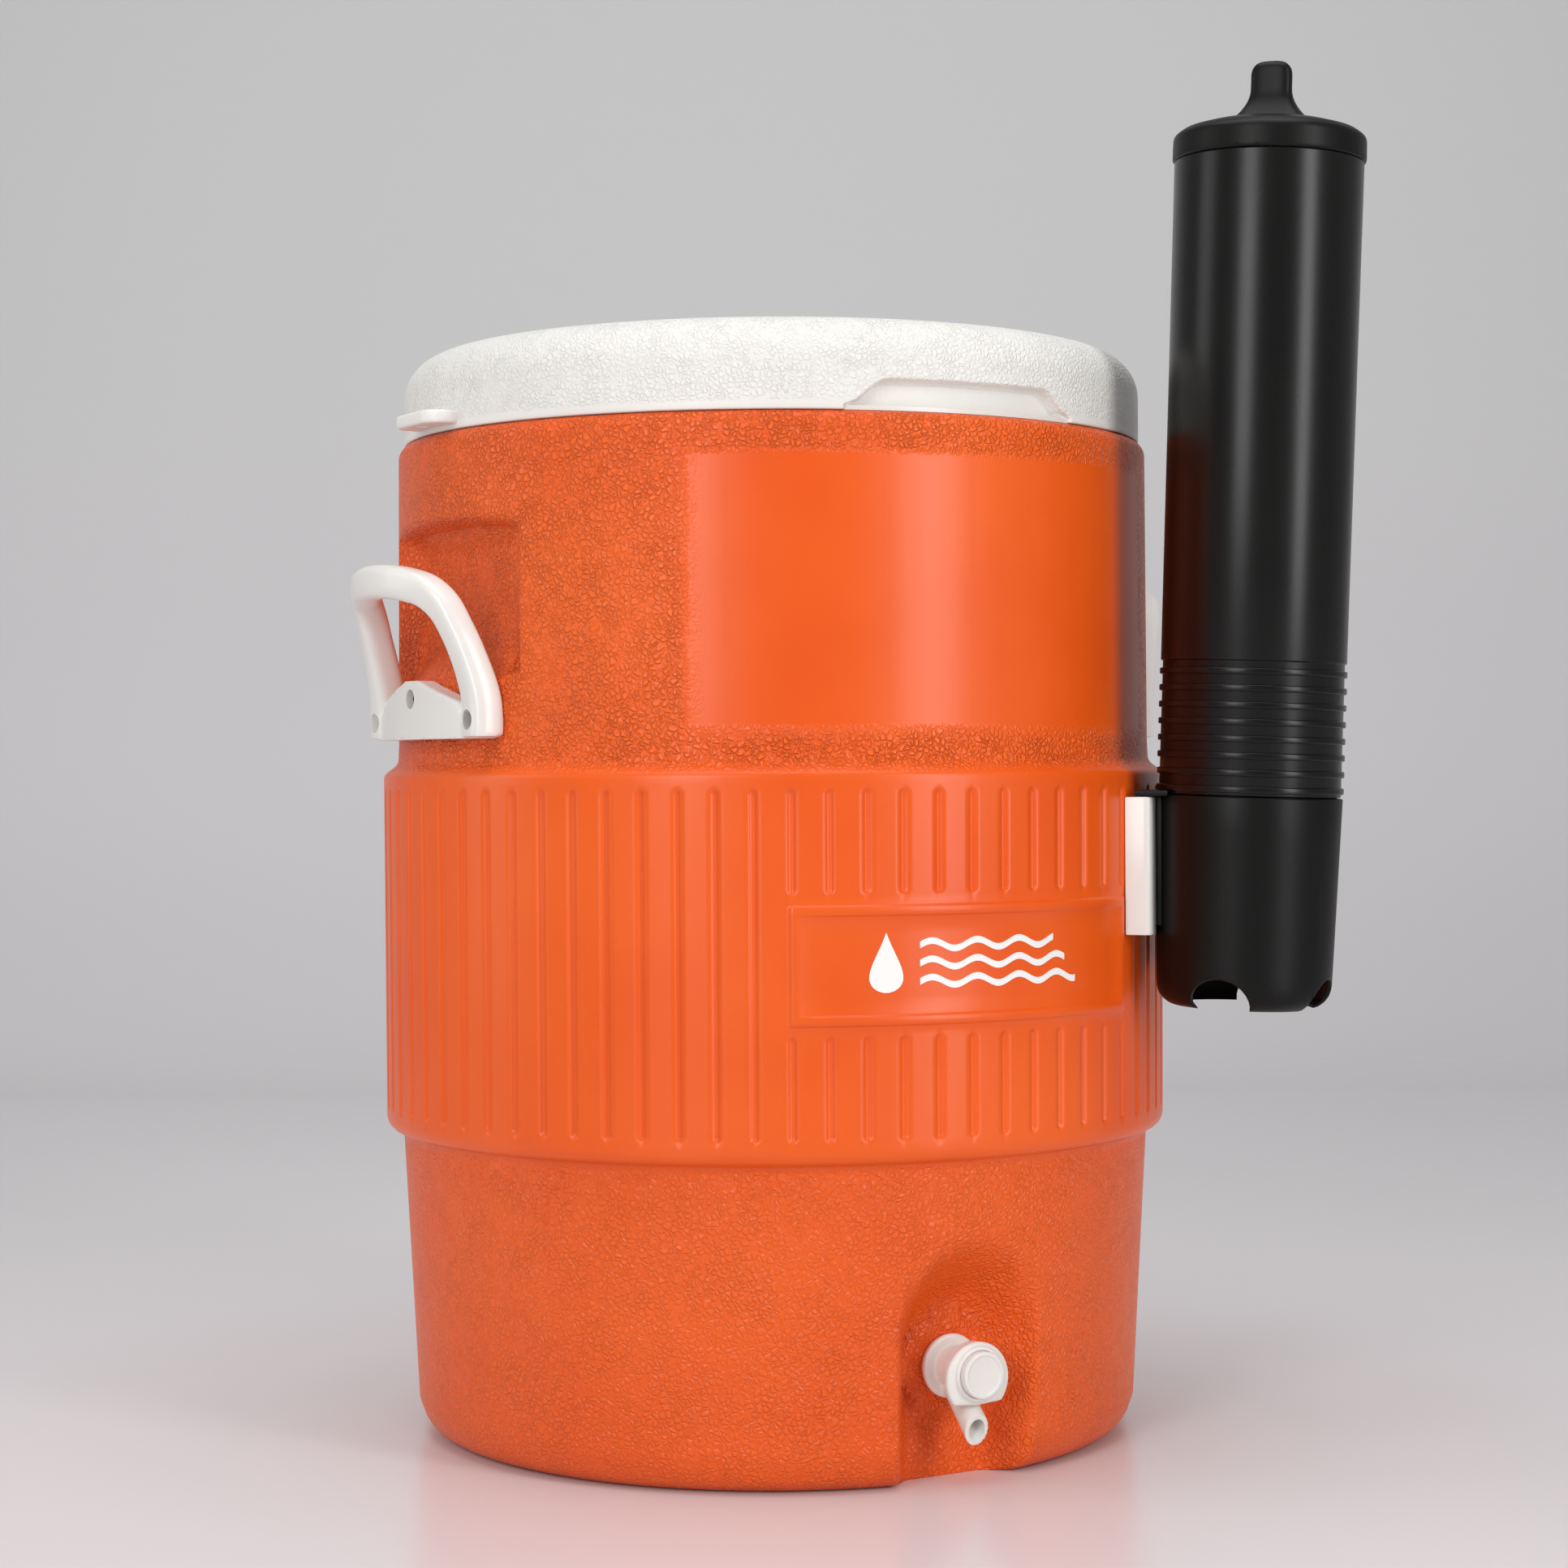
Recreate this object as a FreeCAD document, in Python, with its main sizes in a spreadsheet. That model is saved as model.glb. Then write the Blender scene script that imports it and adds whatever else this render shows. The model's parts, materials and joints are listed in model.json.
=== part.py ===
import FreeCAD
import Part
import Sketcher
import math
import os
from FreeCAD import Placement, Rotation, Vector

# Ten gallon insulated drinking water cooler with a push tap and a cup dispenser.
# Millimetres. +Z is up, the origin is on the cooler's axis at the floor, the tap
# faces -Y, the two handles are on -X and +X, and the cup dispenser hangs on the
# band between the tap and the right handle.

SIZES = {
    # outer shell
    "shell_wall": 3.0,
    "base_radius": 185.6,
    "base_round": 17.0,
    "lower_radius": 193.9,
    "band_bottom": 156.0,
    "band_low_radius": 202.5,
    "band_round": 7.0,
    "band_radius": 203.2,
    "band_top": 336.0,
    "upper_bottom": 346.0,
    "upper_radius": 195.3,
    "shoulder_radius": 194.6,
    "shoulder_round": 6.5,
    "rim_height": 508.0,
    # grooves and label panel on the band
    "groove_count": 72.0,
    "groove_half_width": 2.35,
    "groove_low": 167.3,
    "groove_high": 331.8,
    "groove_floor": 202.0,
    "groove_start": 210.0,
    "panel_fill_low": 217.0,
    "panel_fill_high": 282.0,
    "panel_fill_angle": 60.0,
    "panel_low": 221.5,
    "panel_high": 277.1,
    "panel_angle": 55.4,
    "panel_lift": 1.0,
    "panel_border": 4.6,
    "panel_field_angle": 52.6,
    "panel_root": 5.0,
    # tap alcove in the shell's foot
    "alcove_back": 160.5,
    "alcove_back_half": 22.0,
    "alcove_back_spring": 60.0,
    "alcove_front": 219.5,
    "alcove_front_half": 58.0,
    "alcove_front_spring": 84.0,
    "alcove_below": 10.0,
    "pad_radius": 26.0,
    "pad_face": 165.0,
    # finger recesses behind the handles
    "recess_back": 170.0,
    "recess_back_half": 59.0,
    "recess_back_low": 389.0,
    "recess_back_high": 456.0,
    "recess_front": 206.0,
    "recess_front_half": 100.8,
    "recess_front_low": 382.0,
    "recess_front_high": 467.5,
    # liner
    "liner_wall": 2.2,
    "liner_floor": 30.0,
    "liner_floor_radius": 154.5,
    "liner_top_radius": 165.5,
    "liner_round": 9.0,
    "liner_inner_round": 7.0,
    "liner_flange_radius": 189.5,
    "liner_flange_top": 510.2,
    "liner_hole_radius": 165.8,
    # foam filling plug in the base
    "plug_radius": 12.4,
    "plug_hole_radius": 12.5,
    "plug_offset": 75.0,
    "plug_low": 0.4,
    "plug_length": 9.6,
    # lid
    "lid_rim": 510.6,
    "lid_lip": 508.6,
    "lid_lip_inner": 189.9,
    "lid_radius": 191.5,
    "lid_top": 555.0,
    "lid_round": 22.0,
    "lid_wall": 3.0,
    "notch_depth": 7.5,
    "notch_low_half": 60.0,
    "notch_high_half": 47.5,
    "notch_height": 12.0,
    "ear_root": 189.0,
    "ear_tip": 206.0,
    "ear_half_width": 23.0,
    "ear_thickness": 6.5,
    "ear_round": 13.0,
    "ear_hole_radius": 3.6,
    "ear_hole_place": 199.0,
    "lid_liner_wall": 2.2,
    "lid_liner_seat": 510.6,
    "lid_liner_flange": 180.5,
    "lid_plug_radius": 158.0,
    "lid_plug_foot_radius": 156.0,
    "lid_plug_foot": 485.0,
    "lid_plug_round": 8.0,
    "seal_low": 502.0,
    "seal_lip_low": 503.5,
    "seal_lip_high": 506.0,
    "seal_high": 507.5,
    "seal_inner": 158.1,
    "seal_outer": 162.6,
    # handles
    "handle_half": 66.0,
    "handle_low": 356.0,
    "handle_shoulder": 376.0,
    "handle_leg_top": 434.0,
    "handle_leg_top_half": 55.0,
    "handle_top": 441.0,
    "handle_top_half": 47.0,
    "handle_plate_inner": 195.5,
    "handle_plate_outer": 206.2,
    "handle_side_cut": 70.0,
    "handle_lean_low": 386.0,
    "handle_lean_high": 428.0,
    "handle_bar_radius": 75.0,
    "handle_bar_reach": 232.0,
    "handle_bar_depth": 15.0,
    "gap_low": 374.0,
    "gap_low_half": 46.0,
    "gap_peak": 385.0,
    "gap_peak_half": 12.0,
    "gap_high": 424.0,
    "gap_high_half": 37.0,
    "handle_sheet_length": 80.0,
    "handle_window_start": 160.0,
    "handle_window_length": 100.0,
    "handle_end_height": 30.0,
    "handle_hole_length": 60.0,
    # screws and their inserts
    "screw_head_radius": 4.75,
    "screw_head_height": 2.6,
    "screw_radius": 2.2,
    "screw_length": 27.0,
    "screw_hole_radius": 2.4,
    "insert_radius": 4.3,
    "insert_length": 20.0,
    "insert_gap": 1.0,
    "mount_insert_gap": 0.5,
    "insert_room": 12.0,
    "cross_slot": 4.4,
    "cross_slit": 1.0,
    "cross_depth": 1.3,
    "screw_hole_length": 53.7,
    "side_screw_angle": 15.8,
    "side_screw_height": 365.0,
    "middle_screw_height": 376.0,
    # tap, measured forward from the cooler's axis
    "tap_height": 54.0,
    "tap_shank_radius": 9.5,
    "tap_hole_radius": 9.8,
    "tap_hole_start": 120.0,
    "tap_shank_end": 141.0,
    "tap_flange_back": 166.5,
    "tap_flange_front": 169.5,
    "tap_flange_radius": 15.5,
    "tap_barrel_radius": 10.0,
    "tap_collar_back": 184.5,
    "tap_collar_front": 187.0,
    "tap_collar_radius": 13.0,
    "tap_chamber_radius": 7.5,
    "tap_seat": 160.0,
    "tap_seat_radius": 4.5,
    "tap_mix_back": 163.0,
    "tap_mix_front": 177.0,
    "tap_pocket_back": 179.0,
    "tap_pocket_radius": 7.0,
    "tap_guide_radius": 2.55,
    "tap_gasket_radius": 14.5,
    "tap_inner_gasket_back": 149.5,
    "tap_inner_gasket_front": 151.5,
    "tap_nut_back": 141.5,
    "tap_nut_half_flats": 14.0,
    "spout_radius": 6.5,
    "spout_bore_radius": 4.5,
    "spout_slope": 45.0,
    "spout_root": 163.5,
    "spout_begin": 11.5,
    "spout_room": 0.3,
    "spout_mouth": 190.5,
    "spout_mouth_tilt": 11.4,
    "bonnet_radius": 17.5,
    "bonnet_drop": 2.5,
    "bonnet_flat": 15.0,
    "bonnet_back": 188.0,
    "bonnet_front": 192.5,
    "bonnet_ring_radius": 13.25,
    "bonnet_ring_front": 194.7,
    "bonnet_skirt_radius": 15.0,
    "bonnet_bore_radius": 11.45,
    "button_radius": 11.25,
    "button_front": 197.6,
    "button_back": 191.9,
    "button_skin": 1.8,
    "button_round": 1.2,
    "button_boss_radius": 4.0,
    "button_socket_radius": 2.5,
    "stem_radius": 2.5,
    "stem_front": 195.2,
    "stem_back": 155.5,
    "stem_head_radius": 4.4,
    "stem_head_front": 157.3,
    "valve_seal_radius": 6.2,
    "valve_seal_back": 157.4,
    "valve_seal_front": 159.9,
    "spring_radius": 4.9,
    "spring_wire": 0.45,
    "spring_pitch": 2.6,
    "spring_back": 179.6,
    "spring_front": 191.6,
    # bracket on the band and the cup dispenser
    "dispenser_angle": 38.0,
    "dispenser_tilt": 2.085,
    "mount_half": 34.5,
    "mount_low": 258.0,
    "mount_high": 326.0,
    "mount_front": 213.7,
    "mount_root": 190.0,
    "mount_round": 4.0,
    "band_clearance": 203.5,
    "slot_back": 206.8,
    "slot_front": 211.2,
    "slot_half": 31.0,
    "slot_mouth_half": 25.0,
    "slot_low": 262.0,
    "rail_back": 207.2,
    "rail_front": 210.8,
    "rail_half": 30.6,
    "rail_low": 262.4,
    "neck_half": 24.6,
    "neck_front": 216.0,
    "stop_low": 326.3,
    "stop_high": 329.3,
    "stop_half": 34.0,
    "stop_back": 205.4,
    "stop_front": 222.0,
    "mount_screw_low": 277.0,
    "mount_screw_high": 309.0,
    "flat_head_radius": 4.2,
    "flat_head_height": 2.3,
    "mount_screw_length": 24.0,
    "axis_reach": 250.906,
    "sleeve_foot": 222.0,
    "sleeve_length": 104.0,
    "sleeve_foot_radius": 39.0,
    "sleeve_curl": 6.0,
    "sleeve_curl_radius": 42.6,
    "sleeve_low": 20.0,
    "sleeve_low_radius": 43.4,
    "sleeve_top_radius": 45.6,
    "sleeve_wall": 2.0,
    "finger_gap_radius": 16.0,
    "finger_gap_drop": 0.5,
    "finger_gap_start": 20.0,
    "finger_gap_count": 4.0,
    "finger_gap_turn": -10.0,
    "tube_room": 0.4,
    "tube_start": 78.0,
    "tube_end_radius": 42.7,
    "tube_step": 104.6,
    "tube_neck_radius": 44.6,
    "rib_radius": 45.9,
    "rib_height": 3.2,
    "rib_pitch": 8.2,
    "rib_start": 106.0,
    "rib_count": 8.0,
    "tube_body_low": 171.0,
    "tube_low_radius": 45.6,
    "tube_top": 416.2,
    "tube_top_radius": 46.4,
    "tube_wall": 1.8,
    "cap_low": 416.5,
    "cap_radius": 47.5,
    "cap_shoulder": 428.5,
    "cap_dome_radius": 30.0,
    "cap_dome": 435.5,
    "cap_top": 437.0,
    "cap_wall": 2.0,
    "cap_skirt_radius": 44.1,
    "cap_skirt_low": 404.5,
    "tab_half_width": 11.0,
    "tab_half_depth": 5.0,
    "tab_top": 467.0,
    # tether between the right ear and the right handle's bar
    "tether_half_width": 12.0,
    "tether_half_thickness": 1.2,
    "tether_peg_radius": 3.2,
    "tether_knob_radius": 5.2,
    "tether_knob_height": 2.0,
    "tether_knob_gap": 0.4,
    "tether_lead": 6.0,
    "tether_turn": 207.0,
    "tether_grip": 447.0,
    "tether_tail": 7.0,
    "tether_gap": 0.6,
    "tether_hug": 1.8,
    # space that cutting shapes take beyond the piece they cut
    "cut_room": 40.0,
}

# The tether's bow from the lid to the handle, as (reach, height).
TETHER_BOW = [(214.0, 507.0), (219.0, 488.0), (225.0, 465.0)]

TAP_PLACE = Placement(Vector(0, 0, SIZES["tap_height"]), Rotation(Vector(1, 0, 0), 90))
LEFT_TURN = 180.0
RIGHT_TURN = 0.0

doc = FreeCAD.newDocument("drinks_cooler")
sheet = doc.addObject("Spreadsheet::Sheet", "sizes")
for row, (alias, size) in enumerate(SIZES.items(), start=1):
    sheet.set("A%d" % row, alias.replace("_", " "))
    sheet.set("B%d" % row, str(size))
    sheet.setAlias("B%d" % row, alias)
doc.recompute()

finished = {}


# ---------------------------------------------------------------- helpers

def amount(text):
    """Value of a sum of sizes, such as "lid_top - lid_wall"."""
    total, sign = 0.0, 1.0
    for word in text.split():
        if word in ("+", "-"):
            sign = 1.0 if word == "+" else -1.0
        else:
            total += sign * (SIZES[word] if word in SIZES else float(word))
            sign = 1.0
    return total


def bound(text):
    """The same sum as an expression that reads the sheet."""
    return " ".join("sizes." + word if word in SIZES else word for word in text.split())


def bind(thing, **links):
    """Bind properties to sums of sizes: Radius="lid_radius"."""
    for prop, text in links.items():
        thing.setExpression(prop.replace("__", "."), bound(text))
    return thing


def origin_part(body, role):
    return [item for item in body.Origin.OriginFeatures if item.Role == role][0]


def outline(sketch, points):
    """Closed polygon whose every corner is tied to the sheet."""
    count = len(points)
    flat = [Vector(amount(a), amount(b), 0) for a, b in points]
    for here in range(count):
        sketch.addGeometry(Part.LineSegment(flat[here], flat[(here + 1) % count]), False)
    for here in range(count):
        sketch.addConstraint(Sketcher.Constraint("Coincident", here, 2, (here + 1) % count, 1))
    for here, (across, along) in enumerate(points):
        for kind, axis, text in (("DistanceX", -2, across), ("DistanceY", -1, along)):
            if amount(text) == 0.0:
                sketch.addConstraint(Sketcher.Constraint("PointOnObject", here, 1, axis))
                continue
            made = sketch.addConstraint(
                Sketcher.Constraint(kind, -1, 1, here, 1, amount(text)))
            sketch.setExpression("Constraints[%d]" % made, bound(text))
    return sketch


def body_sketch(body, name, role, points, offset=None):
    sketch = body.newObject("Sketcher::SketchObject", name)
    sketch.AttachmentSupport = [(origin_part(body, role), "")]
    sketch.MapMode = "FlatFace"
    if offset is not None:
        sketch.AttachmentOffset = offset
    return outline(sketch, points)


def revolved(name, points, rounds=()):
    """Body turned about Z from corners (radius, height); rounds are (corner, size)."""
    body = doc.addObject("PartDesign::Body", name)
    sketch = body_sketch(body, name + "_profile", "XZ_Plane", points)
    turn = body.newObject("PartDesign::Revolution", name + "_turn")
    turn.Profile = sketch
    turn.ReferenceAxis = (sketch, ["V_Axis"])
    turn.Angle = 360.0
    doc.recompute()
    for number, (corner, size) in enumerate(rounds):
        radius, height = amount(points[corner][0]), amount(points[corner][1])
        base = body.Tip
        edges = circle_edges(base.Shape, radius, height)
        step = body.newObject("PartDesign::Fillet", "%s_round_%d" % (name, number))
        step.Base = (base, edges)
        step.setExpression("Radius", bound(size))
        doc.recompute()
    return body


def circle_edges(shape, radius, height):
    names = []
    for number, edge in enumerate(shape.Edges, start=1):
        curve = edge.Curve
        if isinstance(curve, Part.Circle) and abs(curve.Radius - radius) < 0.01 \
                and abs(curve.Center.z - height) < 0.01:
            names.append("Edge%d" % number)
    return names


def sector(body, name, kind, points, angle):
    """Revolution or Groove over a sector centred on -Y, from corners (-radius, height)."""
    sketch = body_sketch(body, name + "_profile", "YZ_Plane", points)
    turn = body.newObject("PartDesign::" + kind, name)
    turn.Profile = sketch
    turn.ReferenceAxis = (sketch, ["V_Axis"])
    turn.Midplane = True
    turn.setExpression("Angle", bound(angle))
    doc.recompute()
    return turn


def loose_sketch(name, place, points):
    sketch = doc.addObject("Sketcher::SketchObject", name)
    sketch.Placement = place
    return outline(sketch, points)


def loft(name, sections):
    thing = doc.addObject("Part::Loft", name)
    thing.Sections = sections
    thing.Solid = True
    thing.Ruled = True
    return thing


def extruded(name, sketch, direction, length):
    thing = doc.addObject("Part::Extrusion", name)
    thing.Base = sketch
    thing.DirMode = "Custom"
    thing.Dir = direction
    thing.Solid = True
    thing.setExpression("LengthFwd", bound(length))
    return thing


def cylinder(name, radius, height, place=Placement()):
    thing = doc.addObject("Part::Cylinder", name)
    bind(thing, Radius=radius, Height=height)
    thing.Placement = place
    return thing


def negative(text):
    """The same sum with its signs turned: "a + b" becomes "0 - a - b"."""
    swap = {"+": "-", "-": "+"}
    return "0 - " + " ".join(swap.get(word, word) for word in text.split())


def block(name, low, high, place=Placement()):
    """Box between two corners given as sums of sizes, then placed."""
    thing = doc.addObject("Part::Box", name)
    for prop, first, last in zip(("Length", "Width", "Height"), low, high):
        thing.setExpression(prop, bound(last + " + " + negative(first)))
    corner = Vector(*[amount(text) for text in low])
    thing.Placement = place.multiply(Placement(corner, Rotation()))
    return thing


def cut(name, base, *tools):
    thing = doc.addObject("Part::Cut", name)
    thing.Base = base
    thing.Tool = tools[0] if len(tools) == 1 else joined(name + "_tools", *tools)
    return thing


def joined(name, *pieces):
    thing = doc.addObject("Part::MultiFuse", name)
    thing.Shapes = list(pieces)
    return thing


def common(name, base, tool):
    thing = doc.addObject("Part::Common", name)
    thing.Base = base
    thing.Tool = tool
    return thing


def plain(name, shape, place=Placement()):
    thing = doc.addObject("Part::Feature", name)
    thing.Shape = shape
    thing.Placement = place
    return thing


def keep(node, thing):
    """A finished piece: its Label is its node name."""
    thing.Label = node
    finished[node] = thing
    return thing


def turned_about_z(degrees):
    return Placement(Vector(), Rotation(Vector(0, 0, 1), degrees))


def radial(angle, reach, height):
    """Local +Z points outward at this angle from +X, starting at this reach."""
    out = Rotation(Vector(0, 0, 1), angle).multiply(Rotation(Vector(0, 1, 0), 90))
    start = out.multVec(Vector(0, 0, reach))
    return Placement(Vector(start.x, start.y, height), out)


def front_plane(distance):
    """Upright plane facing -Y at this distance: sketch x is X, sketch y is Z."""
    return Placement(Vector(0, -distance, 0), Rotation(Vector(1, 0, 0), 90))


def side_plane(distance, turn):
    """Upright plane facing the handle's side: sketch x is across, sketch y is Z."""
    stand = Placement(Vector(distance, 0, 0), Rotation(0.5, 0.5, 0.5, 0.5))
    return turned_about_z(turn).multiply(stand)


# ---------------------------------------------------------------- outer shell

def arch(name, distance, half, spring):
    """Outline with a straight foot and a half-round top."""
    wide, rise = amount(half), amount(spring)
    foot = -SIZES["alcove_below"]
    sketch = doc.addObject("Sketcher::SketchObject", name)
    sketch.Placement = front_plane(amount(distance))
    corners = [Vector(-wide, rise, 0), Vector(-wide, foot, 0), Vector(wide, foot, 0),
               Vector(wide, rise, 0)]
    for first, last in zip(corners, corners[1:]):
        sketch.addGeometry(Part.LineSegment(first, last), False)
    circle = Part.Circle(Vector(0, rise, 0), Vector(0, 0, 1), wide)
    sketch.addGeometry(Part.ArcOfCircle(circle, 0.0, math.pi), False)
    for first, end, last, start in ((0, 2, 1, 1), (1, 2, 2, 1), (2, 2, 3, 1), (3, 2, 0, 1)):
        sketch.addConstraint(Sketcher.Constraint("Coincident", first, end, last, start))
    sketch.addConstraint(Sketcher.Constraint("Vertical", 0))
    sketch.addConstraint(Sketcher.Constraint("Vertical", 2))
    sketch.addConstraint(Sketcher.Constraint("Horizontal", 1))
    sketch.addConstraint(Sketcher.Constraint("PointOnObject", 3, 3, -2))
    ties = (("Radius", (3, wide), half), ("DistanceY", (-1, 1, 3, 3, rise), spring),
            ("DistanceY", (-1, 1, 1, 1, foot), "0 - alcove_below"))
    for kind, ends, text in ties:
        made = sketch.addConstraint(Sketcher.Constraint(kind, *ends))
        sketch.setExpression("Constraints[%d]" % made, bound(text))
    return sketch


def alcove(name, grow):
    """Space of the tap alcove; grow is the wall to add around it, "0" for none."""
    back = arch(name + "_back", "alcove_back - " + grow, "alcove_back_half + " + grow,
                "alcove_back_spring")
    front = arch(name + "_front", "alcove_front - " + grow, "alcove_front_half + " + grow,
                 "alcove_front_spring")
    return loft(name, [back, front])


def recess(name, turn, grow):
    """Space of one finger recess, again with or without a wall around it."""
    sections = []
    for end in ("back", "front"):
        half = "recess_%s_half + %s" % (end, grow)
        low = "recess_%s_low - %s" % (end, grow)
        high = "recess_%s_high + %s" % (end, grow)
        minus = "0 - recess_%s_half - %s" % (end, grow)
        corners = [(minus, low), (half, low), (half, high), (minus, high)]
        place = side_plane(amount("recess_%s - %s" % (end, grow)), turn)
        sections.append(loose_sketch("%s_%s" % (name, end), place, corners))
    return loft(name, sections)


def grooved_form():
    """Outside of the shell: turned form, fluted band and raised label panel."""
    body = revolved("shell_form", [
        ("0", "0"), ("base_radius", "0"), ("lower_radius", "band_bottom"),
        ("band_low_radius", "band_bottom"), ("band_radius", "band_top"),
        ("upper_radius", "upper_bottom"), ("shoulder_radius", "rim_height"),
        ("0", "rim_height")],
        rounds=[(1, "base_round"), (3, "band_round"), (6, "shoulder_round")])
    half_pitch = Rotation(Vector(0, 1, 0), 180.0 / SIZES["groove_count"])
    start = half_pitch.multVec(Vector(0, 0, SIZES["groove_start"]))
    flute = body_sketch(body, "flute_outline", "XZ_Plane", [
        ("0 - groove_half_width", "groove_low"), ("groove_half_width", "groove_low"),
        ("groove_half_width", "groove_high"), ("0 - groove_half_width", "groove_high")],
        Placement(start, half_pitch))
    pocket = body.newObject("PartDesign::Pocket", "flute")
    pocket.Profile = flute
    pocket.setExpression("Length", bound("groove_start - groove_floor"))
    doc.recompute()
    pattern = body.newObject("PartDesign::PolarPattern", "flutes")
    pattern.Originals = [pocket]
    pattern.Axis = (origin_part(body, "Z_Axis"), [""])
    pattern.Angle = 360.0
    pattern.setExpression("Occurrences", bound("groove_count"))
    body.Tip = pattern
    doc.recompute()
    root, face = "panel_root - band_radius", "0 - band_radius"
    sector(body, "panel_ground", "Revolution", [
        (root, "panel_fill_low"), (face, "panel_fill_low"),
        (face, "panel_fill_high"), (root, "panel_fill_high")], "panel_fill_angle")
    proud = "0 - band_radius - panel_lift"
    sector(body, "panel_border", "Revolution", [
        (root, "panel_low"), (proud, "panel_low"),
        (proud, "panel_high"), (root, "panel_high")], "panel_angle")
    beyond = "0 - groove_start"
    low, high = "panel_low + panel_border", "panel_high - panel_border"
    sector(body, "panel_field", "Groove", [
        (face, low), (beyond, low), (beyond, high), (face, high)], "panel_field_angle")
    return body


def hollow_form():
    """Space inside the shell's wall."""
    return revolved("shell_space", [
        ("0", "shell_wall"), ("base_radius - shell_wall", "shell_wall"),
        ("lower_radius - shell_wall", "band_bottom + shell_wall"),
        ("band_low_radius - shell_wall", "band_bottom + shell_wall"),
        ("band_radius - shell_wall", "band_top"),
        ("upper_radius - shell_wall", "upper_bottom"),
        ("shoulder_radius - shell_wall", "rim_height - shell_wall"),
        ("0", "rim_height - shell_wall")], rounds=[(1, "base_round - shell_wall")])


def handle_screw_places():
    """(turn, radial angle, height) of the six handle screws."""
    for turn in (LEFT_TURN, RIGHT_TURN):
        for angle, height in ((-SIZES["side_screw_angle"], SIZES["side_screw_height"]),
                              (0.0, SIZES["middle_screw_height"]),
                              (SIZES["side_screw_angle"], SIZES["side_screw_height"])):
            yield turn, turn + angle, height


def mount_angle():
    """The dispenser's direction, counted from +X."""
    return SIZES["dispenser_angle"] - 90.0


def mount_screw_places():
    for height in (SIZES["mount_screw_low"], SIZES["mount_screw_high"]):
        yield mount_angle(), height


def all_screw_holes():
    reach = SIZES["recess_back"]
    places = [(angle, height) for _, angle, height in handle_screw_places()]
    for number, (angle, height) in enumerate(places + list(mount_screw_places())):
        yield cylinder("screw_hole_%d" % number, "screw_hole_radius", "screw_hole_length",
                       radial(angle, reach, height))


outside = cut("shell_outside", grooved_form(), alcove("alcove_space", "0"),
              recess("left_recess", LEFT_TURN, "0"), recess("right_recess", RIGHT_TURN, "0"))
tap_pad = cylinder("tap_pad", "pad_radius", "pad_face - alcove_back + shell_wall",
                   Placement(Vector(0, SIZES["shell_wall"] - SIZES["alcove_back"],
                                    SIZES["tap_height"]), Rotation(Vector(1, 0, 0), 90)))
inside = cut("shell_inside", hollow_form(), alcove("alcove_wall", "shell_wall"),
             recess("left_recess_wall", LEFT_TURN, "shell_wall"),
             recess("right_recess_wall", RIGHT_TURN, "shell_wall"))
plug_place = Placement(Vector(0, SIZES["plug_offset"], 0), Rotation())
tap_bore = cylinder("tap_hole", "tap_hole_radius", "alcove_front - tap_hole_start",
                    Placement(Vector(0, -SIZES["tap_hole_start"], SIZES["tap_height"]),
                              Rotation(Vector(1, 0, 0), 90)))
liner_hole = cylinder("liner_hole", "liner_hole_radius", "cut_room",
                      Placement(Vector(0, 0, amount("lid_rim - cut_room")), Rotation()))
keep("outer_shell", cut("shell_wall_piece", joined("shell_with_pad", outside, tap_pad), inside,
                        liner_hole, tap_bore,
                        cylinder("plug_hole", "plug_hole_radius", "cut_room", plug_place),
                        *all_screw_holes()))

# ---------------------------------------------------------------- liner, foam and plug

liner_block = revolved("liner_block", [
    ("0", "liner_floor"), ("liner_floor_radius", "liner_floor"),
    ("liner_top_radius", "rim_height"), ("0", "rim_height")], rounds=[(1, "liner_round")])
liner_form = revolved("liner_form", [
    ("0", "liner_floor"), ("liner_floor_radius", "liner_floor"),
    ("liner_top_radius", "rim_height"), ("liner_flange_radius", "rim_height"),
    ("liner_flange_radius", "liner_flange_top"),
    ("liner_top_radius - liner_wall", "liner_flange_top"),
    ("liner_floor_radius - liner_wall", "liner_floor + liner_wall"),
    ("0", "liner_floor + liner_wall")],
    rounds=[(1, "liner_round"), (6, "liner_inner_round")])
keep("inner_liner", cut("liner_piece", liner_form, tap_bore))

foam_plug = cylinder("foam_plug_piece", "plug_radius", "plug_length",
                     Placement(Vector(0, SIZES["plug_offset"], SIZES["plug_low"]), Rotation()))
keep("foam_fill_plug", foam_plug)


def insert_set(name, places, outer_reach):
    """Hollow screw inserts that stand in the foam behind the shell's wall."""
    tubes = []
    for angle, height in places:
        ring = Part.makeCylinder(SIZES["insert_radius"], SIZES["insert_length"])
        bore = Part.makeCylinder(SIZES["screw_hole_radius"], SIZES["insert_length"])
        tube = ring.cut(bore)
        tube.Placement = radial(angle, outer_reach - SIZES["insert_length"], height)
        tubes.append(tube)
    return keep(name, plain(name + "_piece", Part.makeCompound(tubes)))


handle_places = list(handle_screw_places())
handle_insert_reach = amount("shoulder_radius - shell_wall - insert_gap")
mount_insert_reach = amount("band_low_radius - shell_wall - mount_insert_gap")
for side, turn in (("left", LEFT_TURN), ("right", RIGHT_TURN)):
    side_places = [(angle, height) for own, angle, height in handle_places if own == turn]
    insert_set(side + "_handle_inserts", side_places, handle_insert_reach)
insert_set("dispenser_mount_inserts", list(mount_screw_places()), mount_insert_reach)


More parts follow.
